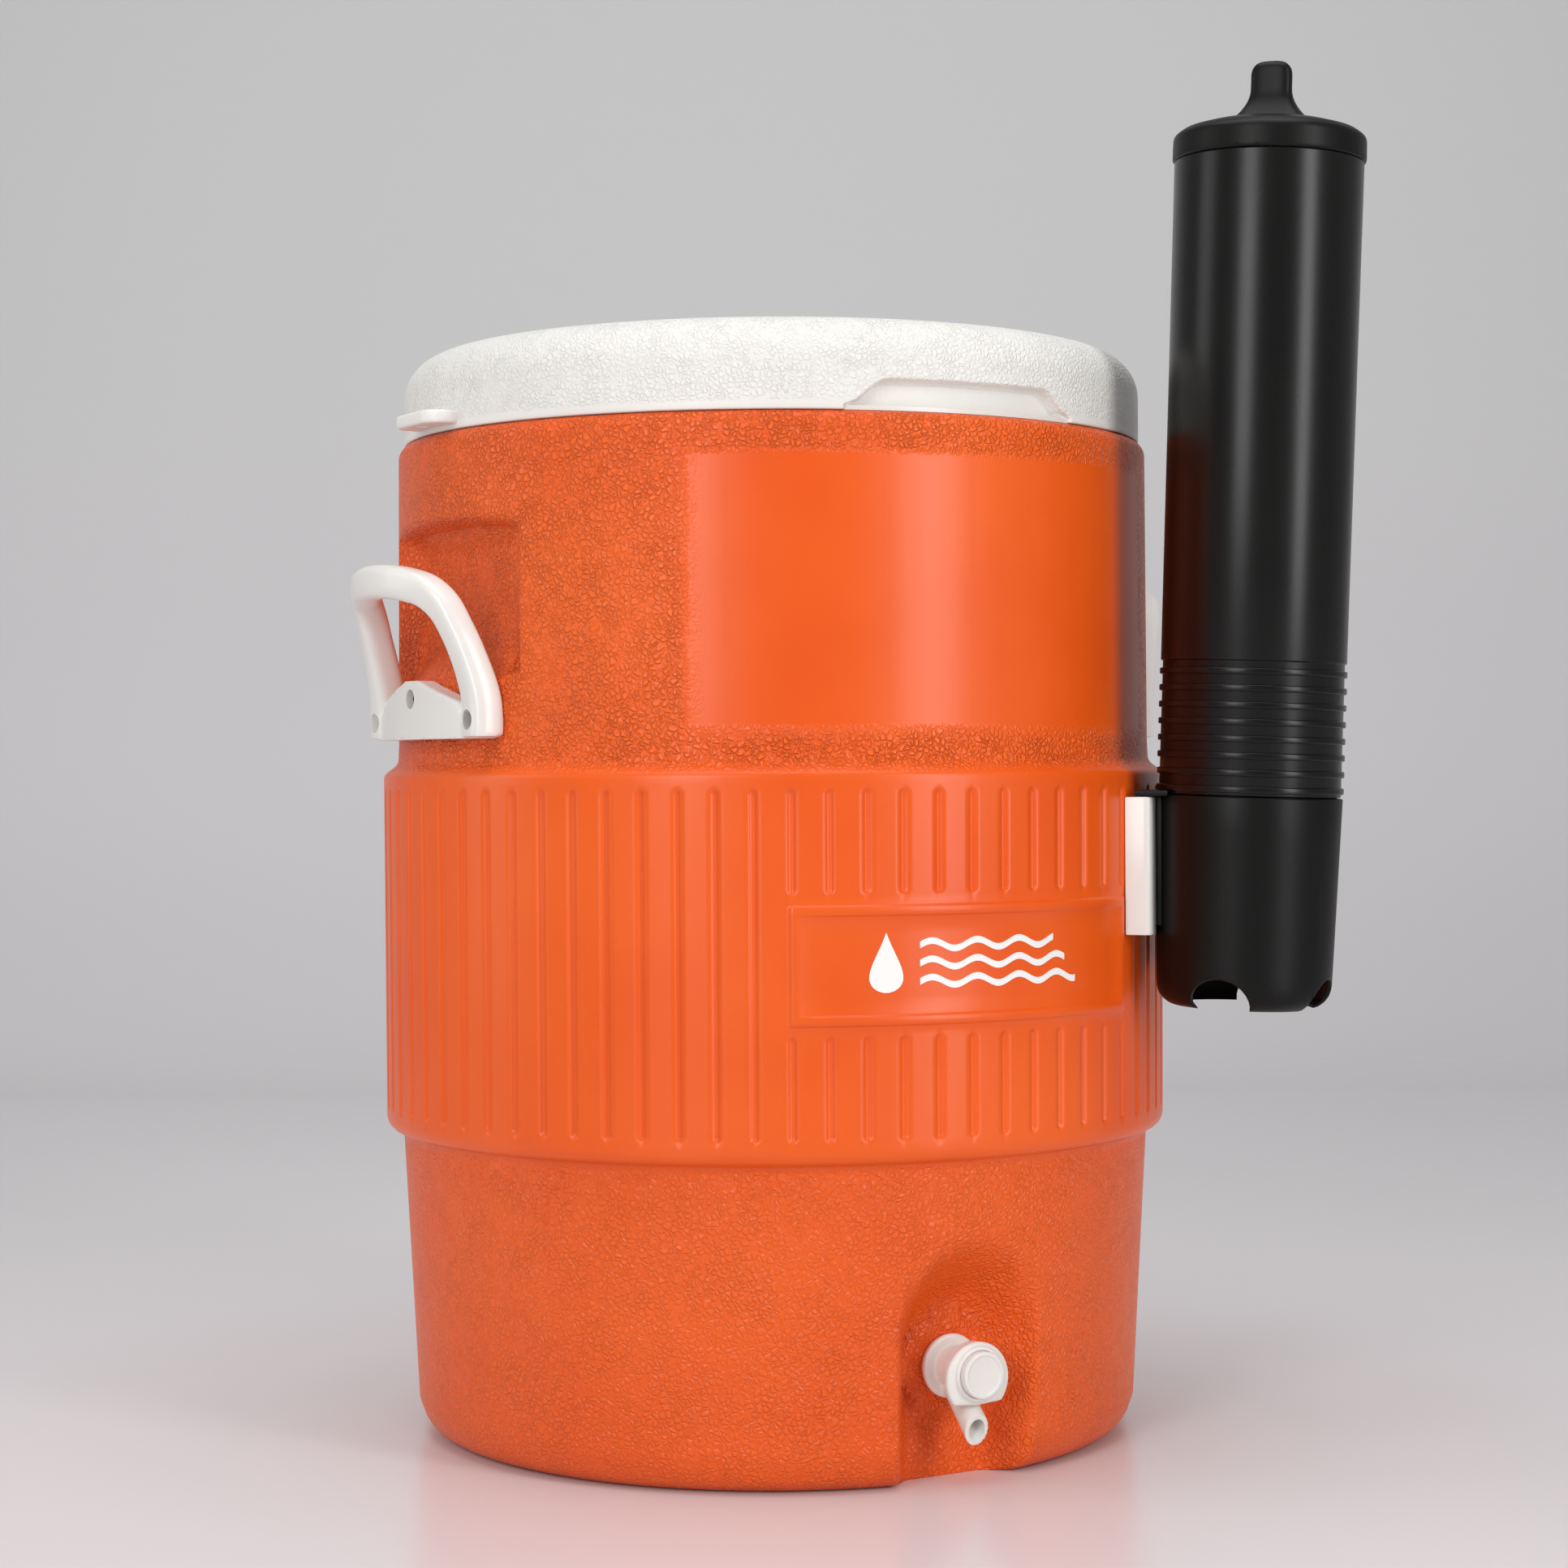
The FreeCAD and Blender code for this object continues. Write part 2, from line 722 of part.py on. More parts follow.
def insert_cores():
    places = [(angle, height, handle_insert_reach) for _, angle, height in handle_places]
    places += [(angle, height, mount_insert_reach) for angle, height in mount_screw_places()]
    for number, (angle, height, reach) in enumerate(places):
        yield cylinder("insert_core_%d" % number, "insert_radius", "insert_length + insert_room",
                       radial(angle, reach - SIZES["insert_length"], height))


keep("foam_insulation", cut("foam_piece", inside, liner_block, tap_bore, foam_plug,
                            *insert_cores()))

# ---------------------------------------------------------------- lid

lid_form = revolved("lid_form", [
    ("0", "lid_lip"), ("lid_radius", "lid_lip"), ("lid_radius", "lid_top"), ("0", "lid_top")],
    rounds=[(2, "lid_round")])
lid_hollow = revolved("lid_hollow", [
    ("0", "lid_lip - lid_wall"), ("lid_lip_inner", "lid_lip - lid_wall"),
    ("lid_lip_inner", "lid_rim"), ("lid_radius - lid_wall", "lid_rim"),
    ("lid_radius - lid_wall", "lid_top - lid_wall"), ("0", "lid_top - lid_wall")],
    rounds=[(4, "lid_round - lid_wall")])


def notches(name, grow, low):
    """Front and rear lifting notches: trapezoids that stop short of the lid's middle."""
    low_half, high_half = "notch_low_half + " + grow, "notch_high_half + " + grow
    high = "lid_rim + notch_height + " + grow
    corners = [("0 - notch_low_half - " + grow, low), (low_half, low),
               (high_half, high), ("0 - notch_high_half - " + grow, high)]
    sketch = loose_sketch(name + "_outline", front_plane(SIZES["groove_start"]), corners)
    prism = extruded(name + "_prism", sketch, Vector(0, 1, 0), "groove_start + groove_start")
    core = cylinder(name + "_core", "lid_radius - notch_depth - " + grow, "lid_top")
    return cut(name, prism, core)


lid_space = cut("lid_space", lid_hollow, notches("notch_walls", "lid_wall", "lid_rim"))


def ear(name, turn):
    """Lug on the rim with a hole for the tether's peg."""
    tab = block(name + "_tab", ("ear_root", "0 - ear_half_width", "lid_rim"),
                ("ear_tip", "ear_half_width", "lid_rim + ear_thickness"), turned_about_z(turn))
    doc.recompute()
    corners = [number for number, edge in enumerate(tab.Shape.Edges, start=1)
               if is_outer_upright(edge)]
    rounded = doc.addObject("Part::Fillet", name + "_rounded")
    rounded.Base = tab
    rounded.Edges = [(number, SIZES["ear_round"], SIZES["ear_round"]) for number in corners]
    hole_place = turned_about_z(turn).multiply(
        Placement(Vector(SIZES["ear_hole_place"], 0, 0), Rotation()))
    hole = cylinder(name + "_hole", "ear_hole_radius", "lid_top", hole_place)
    return cut(name, rounded, hole)


def is_outer_upright(edge):
    low, high = edge.Vertexes[0].Point, edge.Vertexes[-1].Point
    upright = abs(low.x - high.x) < 0.01 and abs(low.y - high.y) < 0.01
    return upright and abs(abs(low.x) - SIZES["ear_tip"]) < 0.01


lid_walls = cut("lid_walls", cut("lid_notched", lid_form, notches("notch_space", "0", "lid_lip - lid_wall")), lid_space)
keep("lid_shell", joined("lid_shell_piece", lid_walls, ear("left_ear", LEFT_TURN),
                         ear("right_ear", RIGHT_TURN)))

keep("lid_liner", revolved("lid_liner_piece", [
    ("0", "lid_plug_foot"), ("lid_plug_foot_radius", "lid_plug_foot"),
    ("lid_plug_radius", "lid_liner_seat"), ("lid_liner_flange", "lid_liner_seat"),
    ("lid_liner_flange", "lid_liner_seat + lid_liner_wall"),
    ("lid_plug_radius - lid_liner_wall", "lid_liner_seat + lid_liner_wall"),
    ("lid_plug_foot_radius - lid_liner_wall", "lid_plug_foot + lid_liner_wall"),
    ("0", "lid_plug_foot + lid_liner_wall")],
    rounds=[(1, "lid_plug_round"), (6, "lid_plug_round - lid_liner_wall")]))

lid_core = revolved("lid_core", [
    ("0", "lid_plug_foot + lid_liner_wall"),
    ("lid_plug_foot_radius - lid_liner_wall", "lid_plug_foot + lid_liner_wall"),
    ("lid_plug_radius - lid_liner_wall", "lid_liner_seat + lid_liner_wall"),
    ("0", "lid_liner_seat + lid_liner_wall")],
    rounds=[(1, "lid_plug_round - lid_liner_wall")])
below_foam = cylinder("below_lid_foam", "band_radius", "cut_room",
                      Placement(Vector(0, 0, amount("lid_liner_seat + lid_liner_wall - cut_room")),
                                Rotation()))
keep("lid_foam", joined("lid_foam_piece", cut("lid_foam_cap", lid_space, below_foam), lid_core))

keep("lid_seal", revolved("lid_seal_piece", [
    ("seal_inner", "seal_low"), ("seal_outer", "seal_lip_low"),
    ("seal_outer", "seal_lip_high"), ("seal_inner", "seal_high")]))

# ---------------------------------------------------------------- handles


def plan_face(height, outer_arc, inner_arc):
    """Flat face between two plan arcs, each given by three (x, y) points."""
    rims = []
    for arc in (outer_arc, inner_arc):
        rims.append(Part.Arc(*[Vector(x, y, height) for x, y in arc]).toShape())
    ends = [Part.LineSegment(Vector(*outer_arc[side], height),
                             Vector(*inner_arc[side], height)).toShape() for side in (0, 2)]
    return Part.Wire(Part.__sortEdges__(rims + ends))


def arc_points(centre, radius, half):
    middle = centre + radius
    end = centre + math.sqrt(radius ** 2 - half ** 2)
    return [(end, -half), (middle, 0.0), (end, half)]


def handle_lean():
    """The band of space that the handle lies in: upright at the plate, leaning out above it."""
    half = SIZES["handle_side_cut"]
    plate = (arc_points(0.0, SIZES["handle_plate_outer"], half),
             arc_points(0.0, SIZES["handle_plate_inner"], half))
    centre = SIZES["handle_bar_reach"] - SIZES["handle_bar_radius"]
    bar = (arc_points(centre, SIZES["handle_bar_radius"], half),
           arc_points(centre - SIZES["handle_bar_depth"], SIZES["handle_bar_radius"], half))
    low, high = SIZES["handle_lean_low"], SIZES["handle_lean_high"]
    end = Vector(0, 0, SIZES["handle_end_height"])
    foot = Part.Face(plan_face(low - end.z, *plate)).extrude(end)
    lean = Part.makeLoft([plan_face(low, *plate), plan_face(high, *bar)], True, True)
    head = Part.Face(plan_face(high, *bar)).extrude(end)
    return foot.fuse([lean, head]).removeSplitter()


def handle(side, turn):
    """Plate and loop: the side view cut out of the leaning band of space."""
    minus = "0 - "
    sheet_place = side_plane(SIZES["recess_back"], turn)
    sheet_outline = loose_sketch(side + "_handle_outline", sheet_place, [
        (minus + "handle_half", "handle_low"), ("handle_half", "handle_low"),
        ("handle_half", "handle_shoulder"), ("handle_leg_top_half", "handle_leg_top"),
        ("handle_top_half", "handle_top"), (minus + "handle_top_half", "handle_top"),
        (minus + "handle_leg_top_half", "handle_leg_top"),
        (minus + "handle_half", "handle_shoulder")])
    window_place = side_plane(SIZES["handle_window_start"], turn)
    gap_outline = loose_sketch(side + "_handle_gap", window_place, [
        (minus + "gap_low_half", "gap_low"), (minus + "gap_peak_half", "gap_peak"),
        ("gap_peak_half", "gap_peak"), ("gap_low_half", "gap_low"),
        ("gap_high_half", "gap_high"), (minus + "gap_high_half", "gap_high")])
    out = turned_about_z(turn).Rotation.multVec(Vector(1, 0, 0))
    slab = cut(side + "_handle_slab",
               extruded(side + "_handle_sheet", sheet_outline, out, "handle_sheet_length"),
               extruded(side + "_handle_window", gap_outline, out,
                        "handle_window_length"))
    lean = plain(side + "_handle_lean", handle_lean(), turned_about_z(turn))
    core = cylinder(side + "_handle_core", "handle_plate_inner", "lid_top")
    holes = [cylinder("%s_handle_hole_%d" % (side, number), "screw_hole_radius",
                      "handle_hole_length", radial(angle, SIZES["recess_back"], height))
             for number, (own, angle, height) in enumerate(handle_places) if own == turn]
    return keep(side + "_handle", cut(side + "_handle_piece",
                                      common(side + "_handle_form", slab, lean), core,
                                      *holes))


for side, turn in (("left", LEFT_TURN), ("right", RIGHT_TURN)):
    handle(side, turn)


def screw(head_radius, head_height, length, flat_head):
    """Cross-recess screw along +Z, with its head's seat at z = 0."""
    if flat_head:
        head = Part.makeCone(SIZES["screw_radius"], head_radius, head_height)
        head.translate(Vector(0, 0, -head_height))
        top = 0.0
    else:
        head = Part.makeCylinder(head_radius, head_height)
        rim = [edge for edge in head.Edges if abs(edge.BoundBox.ZMin - head_height) < 0.01]
        head = head.makeFillet(head_height / 2, rim)
        top = head_height
    shank = Part.makeCylinder(SIZES["screw_radius"], length, Vector(0, 0, -length))
    body = head.fuse(shank).removeSplitter()
    slot, slit, deep = SIZES["cross_slot"], SIZES["cross_slit"], SIZES["cross_depth"]
    for long_side, short_side in ((slot, slit), (slit, slot)):
        corner = Vector(-long_side / 2, -short_side / 2, top - deep)
        body = body.cut(Part.makeBox(long_side, short_side, deep + 1, corner))
    return body


def screw_set(name, places, reach, *shape):
    pieces = []
    for angle, height in places:
        piece = screw(*shape)
        piece.Placement = radial(angle, reach, height)
        pieces.append(piece)
    return keep(name, plain(name + "_piece", Part.makeCompound(pieces)))


for side, turn in (("left", LEFT_TURN), ("right", RIGHT_TURN)):
    screw_set(side + "_handle_screws",
              [(angle, height) for own, angle, height in handle_places if own == turn],
              SIZES["handle_plate_outer"] + 0.1, SIZES["screw_head_radius"],
              SIZES["screw_head_height"], SIZES["screw_length"], False)

# ---------------------------------------------------------------- tap


def tap_turned(name, points, rounds=()):
    body = revolved(name, points, rounds)
    body.Placement = TAP_PLACE
    body.setExpression("Placement.Base.z", bound("tap_height"))
    return body


def spout_line():
    """Start, direction and length of the spout's axis, from the tap's axis to its mouth."""
    slope = math.radians(SIZES["spout_slope"])
    start = Vector(0, -SIZES["spout_root"], SIZES["tap_height"])
    along = Vector(0, -math.cos(slope), -math.sin(slope))
    return start, along, (SIZES["spout_mouth"] - SIZES["spout_root"]) / math.cos(slope)


def spout_parts():
    """The spout's rod with its slanted mouth, its bore, and the room that it needs."""
    start, along, length = spout_line()
    mouth = start + along * length
    tilt = math.radians(SIZES["spout_mouth_tilt"])
    facing = Vector(0, -math.cos(tilt), -math.sin(tilt))
    beyond = Part.makeCylinder(SIZES["cut_room"], SIZES["cut_room"], mouth, facing)
    begin = start + along * SIZES["spout_begin"]
    rod = Part.makeCylinder(SIZES["spout_radius"], length, begin, along).cut(beyond)
    bore = Part.makeCylinder(SIZES["spout_bore_radius"], length, begin, along)
    room = Part.makeCylinder(SIZES["spout_radius"] + SIZES["spout_room"], length, begin, along)
    return rod, bore, room


barrel = tap_turned("tap_barrel", [
    ("0", "tap_shank_end"), ("tap_shank_radius", "tap_shank_end"),
    ("tap_shank_radius", "tap_flange_back"), ("tap_flange_radius", "tap_flange_back"),
    ("tap_flange_radius", "tap_flange_front"), ("tap_barrel_radius", "tap_flange_front"),
    ("tap_barrel_radius", "tap_collar_back"), ("tap_collar_radius", "tap_collar_back"),
    ("tap_collar_radius", "tap_collar_front"), ("0", "tap_collar_front")])
waterway = tap_turned("tap_waterway", [
    ("0", "tap_shank_end - 1"), ("tap_chamber_radius", "tap_shank_end - 1"),
    ("tap_chamber_radius", "tap_seat"), ("tap_seat_radius", "tap_seat"),
    ("tap_seat_radius", "tap_mix_back"), ("tap_pocket_radius", "tap_mix_back"),
    ("tap_pocket_radius", "tap_mix_front"), ("tap_guide_radius", "tap_mix_front"),
    ("tap_guide_radius", "tap_pocket_back"), ("tap_pocket_radius", "tap_pocket_back"),
    ("tap_pocket_radius", "tap_collar_front + 1"), ("0", "tap_collar_front + 1")])
spout_rod, spout_bore, spout_room = spout_parts()
keep("tap_body", cut("tap_body_piece", joined("tap_casting", barrel, plain("spout", spout_rod)),
                     waterway, plain("spout_waterway", spout_bore)))


def guard_outline():
    """Round guard with a flat foot, seen along the tap's axis: sketch -y is down."""
    radius, drop = SIZES["bonnet_radius"], SIZES["bonnet_drop"]
    flat = SIZES["bonnet_flat"]
    across = math.sqrt(radius ** 2 - (flat - drop) ** 2)
    start = math.atan2(drop - flat, across)
    centre = Vector(0, -drop, SIZES["bonnet_back"])
    circle = Part.Circle(centre, Vector(0, 0, 1), radius)
    arc = Part.ArcOfCircle(circle, start, math.pi - start).toShape()
    foot = Part.LineSegment(arc.Vertexes[-1].Point, arc.Vertexes[0].Point).toShape()
    face = Part.Face(Part.Wire([arc, foot]))
    return face.extrude(Vector(0, 0, SIZES["bonnet_front"] - SIZES["bonnet_back"]))


guard = plain("bonnet_guard_plate", guard_outline(), TAP_PLACE)
bonnet_ring = tap_turned("bonnet_ring", [
    ("0", "tap_collar_back"), ("bonnet_skirt_radius", "tap_collar_back"),
    ("bonnet_skirt_radius", "bonnet_back"), ("bonnet_ring_radius", "bonnet_back"),
    ("bonnet_ring_radius", "bonnet_ring_front"), ("0", "bonnet_ring_front")])
bonnet_bore = tap_turned("bonnet_bore", [
    ("0", "tap_collar_back - 1"), ("tap_collar_radius", "tap_collar_back - 1"),
    ("tap_collar_radius", "tap_collar_front"), ("bonnet_bore_radius", "tap_collar_front"),
    ("bonnet_bore_radius", "bonnet_ring_front + 1"), ("0", "bonnet_ring_front + 1")])
keep("tap_bonnet", cut("tap_bonnet_piece", joined("bonnet_casting", guard, bonnet_ring),
                       bonnet_bore, plain("bonnet_spout_notch", spout_room)))

keep("tap_button", tap_turned("tap_button_piece", [
    ("button_socket_radius", "button_back"), ("button_boss_radius", "button_back"),
    ("button_boss_radius", "button_front - button_skin"),
    ("button_radius - button_skin", "button_front - button_skin"),
    ("button_radius - button_skin", "button_back"), ("button_radius", "button_back"),
    ("button_radius", "button_front"), ("0", "button_front"), ("0", "stem_front"),
    ("button_socket_radius", "stem_front")], rounds=[(6, "button_round")]))
keep("tap_stem", tap_turned("tap_stem_piece", [
    ("0", "stem_back"), ("stem_head_radius", "stem_back"),
    ("stem_head_radius", "stem_head_front"), ("stem_radius", "stem_head_front"),
    ("stem_radius", "stem_front"), ("0", "stem_front")]))
keep("tap_valve_seal", tap_turned("tap_valve_seal_piece", [
    ("stem_radius", "valve_seal_back"), ("valve_seal_radius", "valve_seal_back"),
    ("valve_seal_radius", "valve_seal_front"), ("stem_radius", "valve_seal_front")]))
keep("tap_outer_gasket", tap_turned("tap_outer_gasket_piece", [
    ("tap_hole_radius", "pad_face"), ("tap_gasket_radius", "pad_face"),
    ("tap_gasket_radius", "tap_flange_back"), ("tap_hole_radius", "tap_flange_back")]))
keep("tap_inner_gasket", tap_turned("tap_inner_gasket_piece", [
    ("tap_hole_radius", "tap_inner_gasket_back"), ("tap_gasket_radius", "tap_inner_gasket_back"),
    ("tap_gasket_radius", "tap_inner_gasket_front"),
    ("tap_hole_radius", "tap_inner_gasket_front")]))


def lock_nut():
    """Six-sided nut with a plain bore, in the tap's own frame."""
    corner = SIZES["tap_nut_half_flats"] / math.cos(math.radians(30))
    back, front = SIZES["tap_nut_back"], SIZES["tap_inner_gasket_back"]
    corners = [Vector(corner * math.cos(math.radians(60 * turn)),
                      corner * math.sin(math.radians(60 * turn)), back) for turn in range(7)]
    six_sided = Part.Face(Part.makePolygon(corners)).extrude(Vector(0, 0, front - back))
    return six_sided.cut(Part.makeCylinder(SIZES["tap_shank_radius"] + 0.1, 2 * front))


keep("tap_lock_nut", plain("tap_lock_nut_piece", lock_nut(), TAP_PLACE))


def coil_spring():
    """Closed wire coil around the tap's axis, in the tap's own frame."""
    radius, wire = SIZES["spring_radius"], SIZES["spring_wire"]
    back = SIZES["spring_back"] + wire
    rise = SIZES["spring_front"] - SIZES["spring_back"] - 2 * wire
    helix = Part.makeHelix(SIZES["spring_pitch"], rise, radius)
    spots = [math.radians(45 * step + 22.5) for step in range(9)]
    ring = Part.makePolygon([Vector(radius + wire * math.cos(spot), 0, wire * math.sin(spot))
                             for spot in spots])
    return Part.Wire(helix).makePipeShell([ring], True, True), Vector(0, 0, back)


coil, coil_start = coil_spring()
keep("tap_spring", plain("tap_spring_piece", coil,
                         TAP_PLACE.multiply(Placement(coil_start, Rotation()))))

# ---------------------------------------------------------------- bracket and cup dispenser

bracket_turn = turned_about_z(mount_angle())
bracket_block = block("bracket_block", ("mount_root", "0 - mount_half", "mount_low"),
                      ("mount_front", "mount_half", "mount_high"), bracket_turn)
bracket_core = cylinder("bracket_core", "band_clearance", "lid_top")
bracket_slot = block("bracket_slot", ("slot_back", "0 - slot_half", "slot_low"),
                     ("slot_front", "slot_half", "lid_rim"), bracket_turn)
bracket_mouth = block("bracket_mouth", ("slot_back", "0 - slot_mouth_half", "sleeve_foot"),
                      ("groove_start + groove_start", "slot_mouth_half", "lid_rim"), bracket_turn)
doc.recompute()
bracket_rounded = doc.addObject("Part::Fillet", "bracket_rounded")
bracket_rounded.Base = bracket_block
front_edges = []
for number, edge in enumerate(bracket_block.Shape.Edges, start=1):
    ends = [vertex.Point for vertex in edge.Vertexes]
    if abs(ends[0].x - ends[1].x) < 0.01 and abs(ends[0].y - ends[1].y) < 0.01:
        if Vector(ends[0].x, ends[0].y, 0).Length > SIZES["mount_front"]:
            front_edges.append((number, SIZES["mount_round"], SIZES["mount_round"]))
bracket_rounded.Edges = front_edges


def countersinks():
    """Screw holes through the bracket's back, widened for the flat heads."""
    for number, (angle, height) in enumerate(mount_screw_places()):
        shank = cylinder("bracket_hole_%d" % number, "screw_hole_radius", "screw_hole_length",
                         radial(angle, SIZES["recess_back"], height))
        cone = doc.addObject("Part::Cone", "bracket_sink_%d" % number)
        bind(cone, Radius1="screw_hole_radius", Radius2="flat_head_radius + 0.3",
             Height="flat_head_height + 0.2")
        reach = amount("slot_back - flat_head_height - 0.2")
        cone.Placement = radial(angle, reach, height)
        yield shank
        yield cone


keep("dispenser_mount", cut("bracket_piece", bracket_rounded, bracket_core, bracket_slot,
                            bracket_mouth, *countersinks()))
screw_set("dispenser_mount_screws", list(mount_screw_places()), SIZES["slot_back"] - 0.1,
          SIZES["flat_head_radius"], SIZES["flat_head_height"], SIZES["mount_screw_length"], True)

# The dispenser's own frame: +Z up along the tube, which leans out from the cooler.
lean = Rotation(Vector(0, 1, 0), SIZES["dispenser_tilt"])
foot = Placement(Vector(SIZES["axis_reach"], 0, SIZES["sleeve_foot"]), lean)
dispenser_place = bracket_turn.multiply(foot)


def dispenser_turned(name, points, rounds=()):
    body = revolved(name, points, rounds)
    body.Placement = dispenser_place
    return body


sleeve_form = dispenser_turned("sleeve_form", [
    ("0", "0"), ("sleeve_foot_radius", "0"), ("sleeve_curl_radius", "sleeve_curl"),
    ("sleeve_low_radius", "sleeve_low"), ("sleeve_top_radius", "sleeve_length"),
    ("0", "sleeve_length")])
sleeve_hollow = dispenser_turned("sleeve_hollow", [
    ("0", "0 - sleeve_curl"), ("sleeve_foot_radius - sleeve_wall", "0 - sleeve_curl"),
    ("sleeve_foot_radius - sleeve_wall", "0"),
    ("sleeve_curl_radius - sleeve_wall", "sleeve_curl"),
    ("sleeve_low_radius - sleeve_wall", "sleeve_low"),
    ("sleeve_top_radius - sleeve_wall", "sleeve_length"),
    ("rib_radius + tube_room", "sleeve_length"),
    ("rib_radius + tube_room", "sleeve_length + sleeve_curl"),
    ("0", "sleeve_length + sleeve_curl")])


def finger_gaps():
    """Arched gaps in the sleeve's mouth, between its gripping fingers."""
    count = int(SIZES["finger_gap_count"])
    for number in range(count):
        angle = SIZES["finger_gap_turn"] + 360.0 * number / count
        arch_place = dispenser_place.multiply(
            radial(angle, SIZES["finger_gap_start"], -SIZES["finger_gap_drop"]))
        yield cylinder("finger_gap_%d" % number, "finger_gap_radius", "sleeve_top_radius",
                       arch_place)


rail = block("rail", ("rail_back", "0 - rail_half", "rail_low"),
             ("rail_front", "rail_half", "stop_high"), bracket_turn)
neck = block("neck", ("rail_back", "0 - neck_half", "rail_low"),
             ("neck_front", "neck_half", "stop_high"), bracket_turn)
stop = block("stop", ("stop_back", "0 - stop_half", "stop_low"),
             ("stop_front", "stop_half", "stop_high"), bracket_turn)
sleeve_cuts = list(finger_gaps())
keep("dispenser_sleeve", cut("sleeve_piece", joined("sleeve_moulding", sleeve_form, rail, neck,
                                                    stop), sleeve_hollow, *sleeve_cuts))


def ribbed_profile():
    """Outside of the tube from its foot up: plain end, ribbed neck, long plain body."""
    points = [("0", "tube_start"), ("tube_end_radius", "tube_start"),
              ("tube_end_radius", "tube_step"), ("tube_neck_radius", "tube_step")]
    for number in range(int(SIZES["rib_count"])):
        low = "rib_start" + " + rib_pitch" * number
        points += [("tube_neck_radius", low), ("rib_radius", low),
                   ("rib_radius", low + " + rib_height"),
                   ("tube_neck_radius", low + " + rib_height")]
    points += [("tube_neck_radius", "tube_body_low"), ("tube_low_radius", "tube_body_low"),
               ("tube_top_radius", "tube_top"), ("0", "tube_top")]
    return points


tube_form = dispenser_turned("tube_form", ribbed_profile())
tube_hollow = dispenser_turned("tube_hollow", [
    ("0", "tube_start - sleeve_curl"),
    ("tube_end_radius - tube_wall", "tube_start - sleeve_curl"),
    ("tube_end_radius - tube_wall", "tube_step"),
    ("tube_neck_radius - tube_wall", "tube_body_low"),
    ("tube_top_radius - tube_wall", "tube_top"),
    ("tube_top_radius - tube_wall", "tube_top + sleeve_curl"),
    ("0", "tube_top + sleeve_curl")])
keep("dispenser_tube", cut("tube_piece", tube_form, tube_hollow))

cap_form = dispenser_turned("cap_form", [
    ("0", "cap_skirt_low"), ("cap_skirt_radius", "cap_skirt_low"),
    ("cap_skirt_radius", "cap_low"), ("cap_radius", "cap_low"),
    ("cap_radius", "cap_shoulder"), ("cap_dome_radius", "cap_dome"), ("0", "cap_top")],
    rounds=[(4, "sleeve_curl - 1")])
cap_hollow = dispenser_turned("cap_hollow", [
    ("0", "cap_skirt_low - 1"), ("cap_skirt_radius - cap_wall", "cap_skirt_low - 1"),
    ("cap_skirt_radius - cap_wall", "cap_shoulder - cap_wall"),
    ("cap_dome_radius", "cap_dome - cap_wall"), ("0", "cap_top - cap_wall")])
tab = block("cap_tab", ("0 - tab_half_width", "0 - tab_half_depth", "cap_shoulder + cap_wall"),
            ("tab_half_width", "tab_half_depth", "tab_top"), dispenser_place)
keep("dispenser_cap", joined("cap_piece", cut("cap_shell", cap_form, cap_hollow), tab))

# ---------------------------------------------------------------- tether


def tether():
    """Flat strap from the right ear, bowed outward, down and around the handle's bar."""
    reach, top = SIZES["handle_bar_reach"], SIZES["handle_top"]
    inner, under = reach - SIZES["handle_bar_depth"], SIZES["gap_high"]
    gap = SIZES["tether_half_thickness"] + SIZES["tether_gap"]
    hug = SIZES["tether_half_thickness"] + SIZES["tether_hug"]
    start = SIZES["lid_rim"] + SIZES["ear_thickness"] + gap
    route = [(SIZES["ear_hole_place"] - SIZES["tether_lead"], start),
             (SIZES["tether_turn"], start), *TETHER_BOW, (reach + gap, SIZES["tether_grip"]),
             (reach + gap, under - gap), (inner - hug, under - gap), (inner - hug, top + gap),
             (reach - SIZES["tether_tail"], top + gap)]
    line = Part.makePolygon([Vector(x, 0, z) for x, z in route])
    edge = line.makeOffset2D(SIZES["tether_half_thickness"], 0, False, False, False)
    strap = Part.Face(edge).extrude(Vector(0, 2 * SIZES["tether_half_width"], 0))
    strap.translate(Vector(0, -SIZES["tether_half_width"], 0))
    knob_top = SIZES["lid_rim"] - SIZES["tether_knob_gap"]
    knob_low = knob_top - SIZES["tether_knob_height"]
    place = Vector(SIZES["ear_hole_place"], 0, knob_low)
    peg = Part.makeCylinder(SIZES["tether_peg_radius"], start - knob_low, place)
    knob = Part.makeCylinder(SIZES["tether_knob_radius"], SIZES["tether_knob_height"], place)
    return strap.fuse([peg, knob]).removeSplitter()


keep("lid_tether", plain("lid_tether_piece", tether()))

# ---------------------------------------------------------------- checks and files

doc.recompute()
faults = []
for thing in doc.Objects:
    if "Invalid" in thing.State or "Error" in thing.State:
        faults.append("%s is %s" % (thing.Name, ", ".join(thing.State)))
for node, thing in finished.items():
    shape = thing.Shape
    if shape.isNull() or not shape.isValid() or not shape.Solids:
        faults.append("%s has no valid solid" % node)
        continue
    box = shape.BoundBox
    print("%-26s %2d solid(s) %10.1f mm3  x %.1f..%.1f  y %.1f..%.1f  z %.1f..%.1f" % (
        node, len(shape.Solids), shape.Volume, box.XMin, box.XMax, box.YMin, box.YMax,
        box.ZMin, box.ZMax))
if faults:
    raise RuntimeError("; ".join(faults))

os.makedirs("parts", exist_ok=True)
for node, thing in finished.items():
    thing.Shape.exportStep("parts/%s.step" % node)
print("wrote %d nodes" % len(finished))
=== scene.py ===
import json
import math
import bmesh
import bpy
import numpy as np
from mathutils import Matrix, Vector


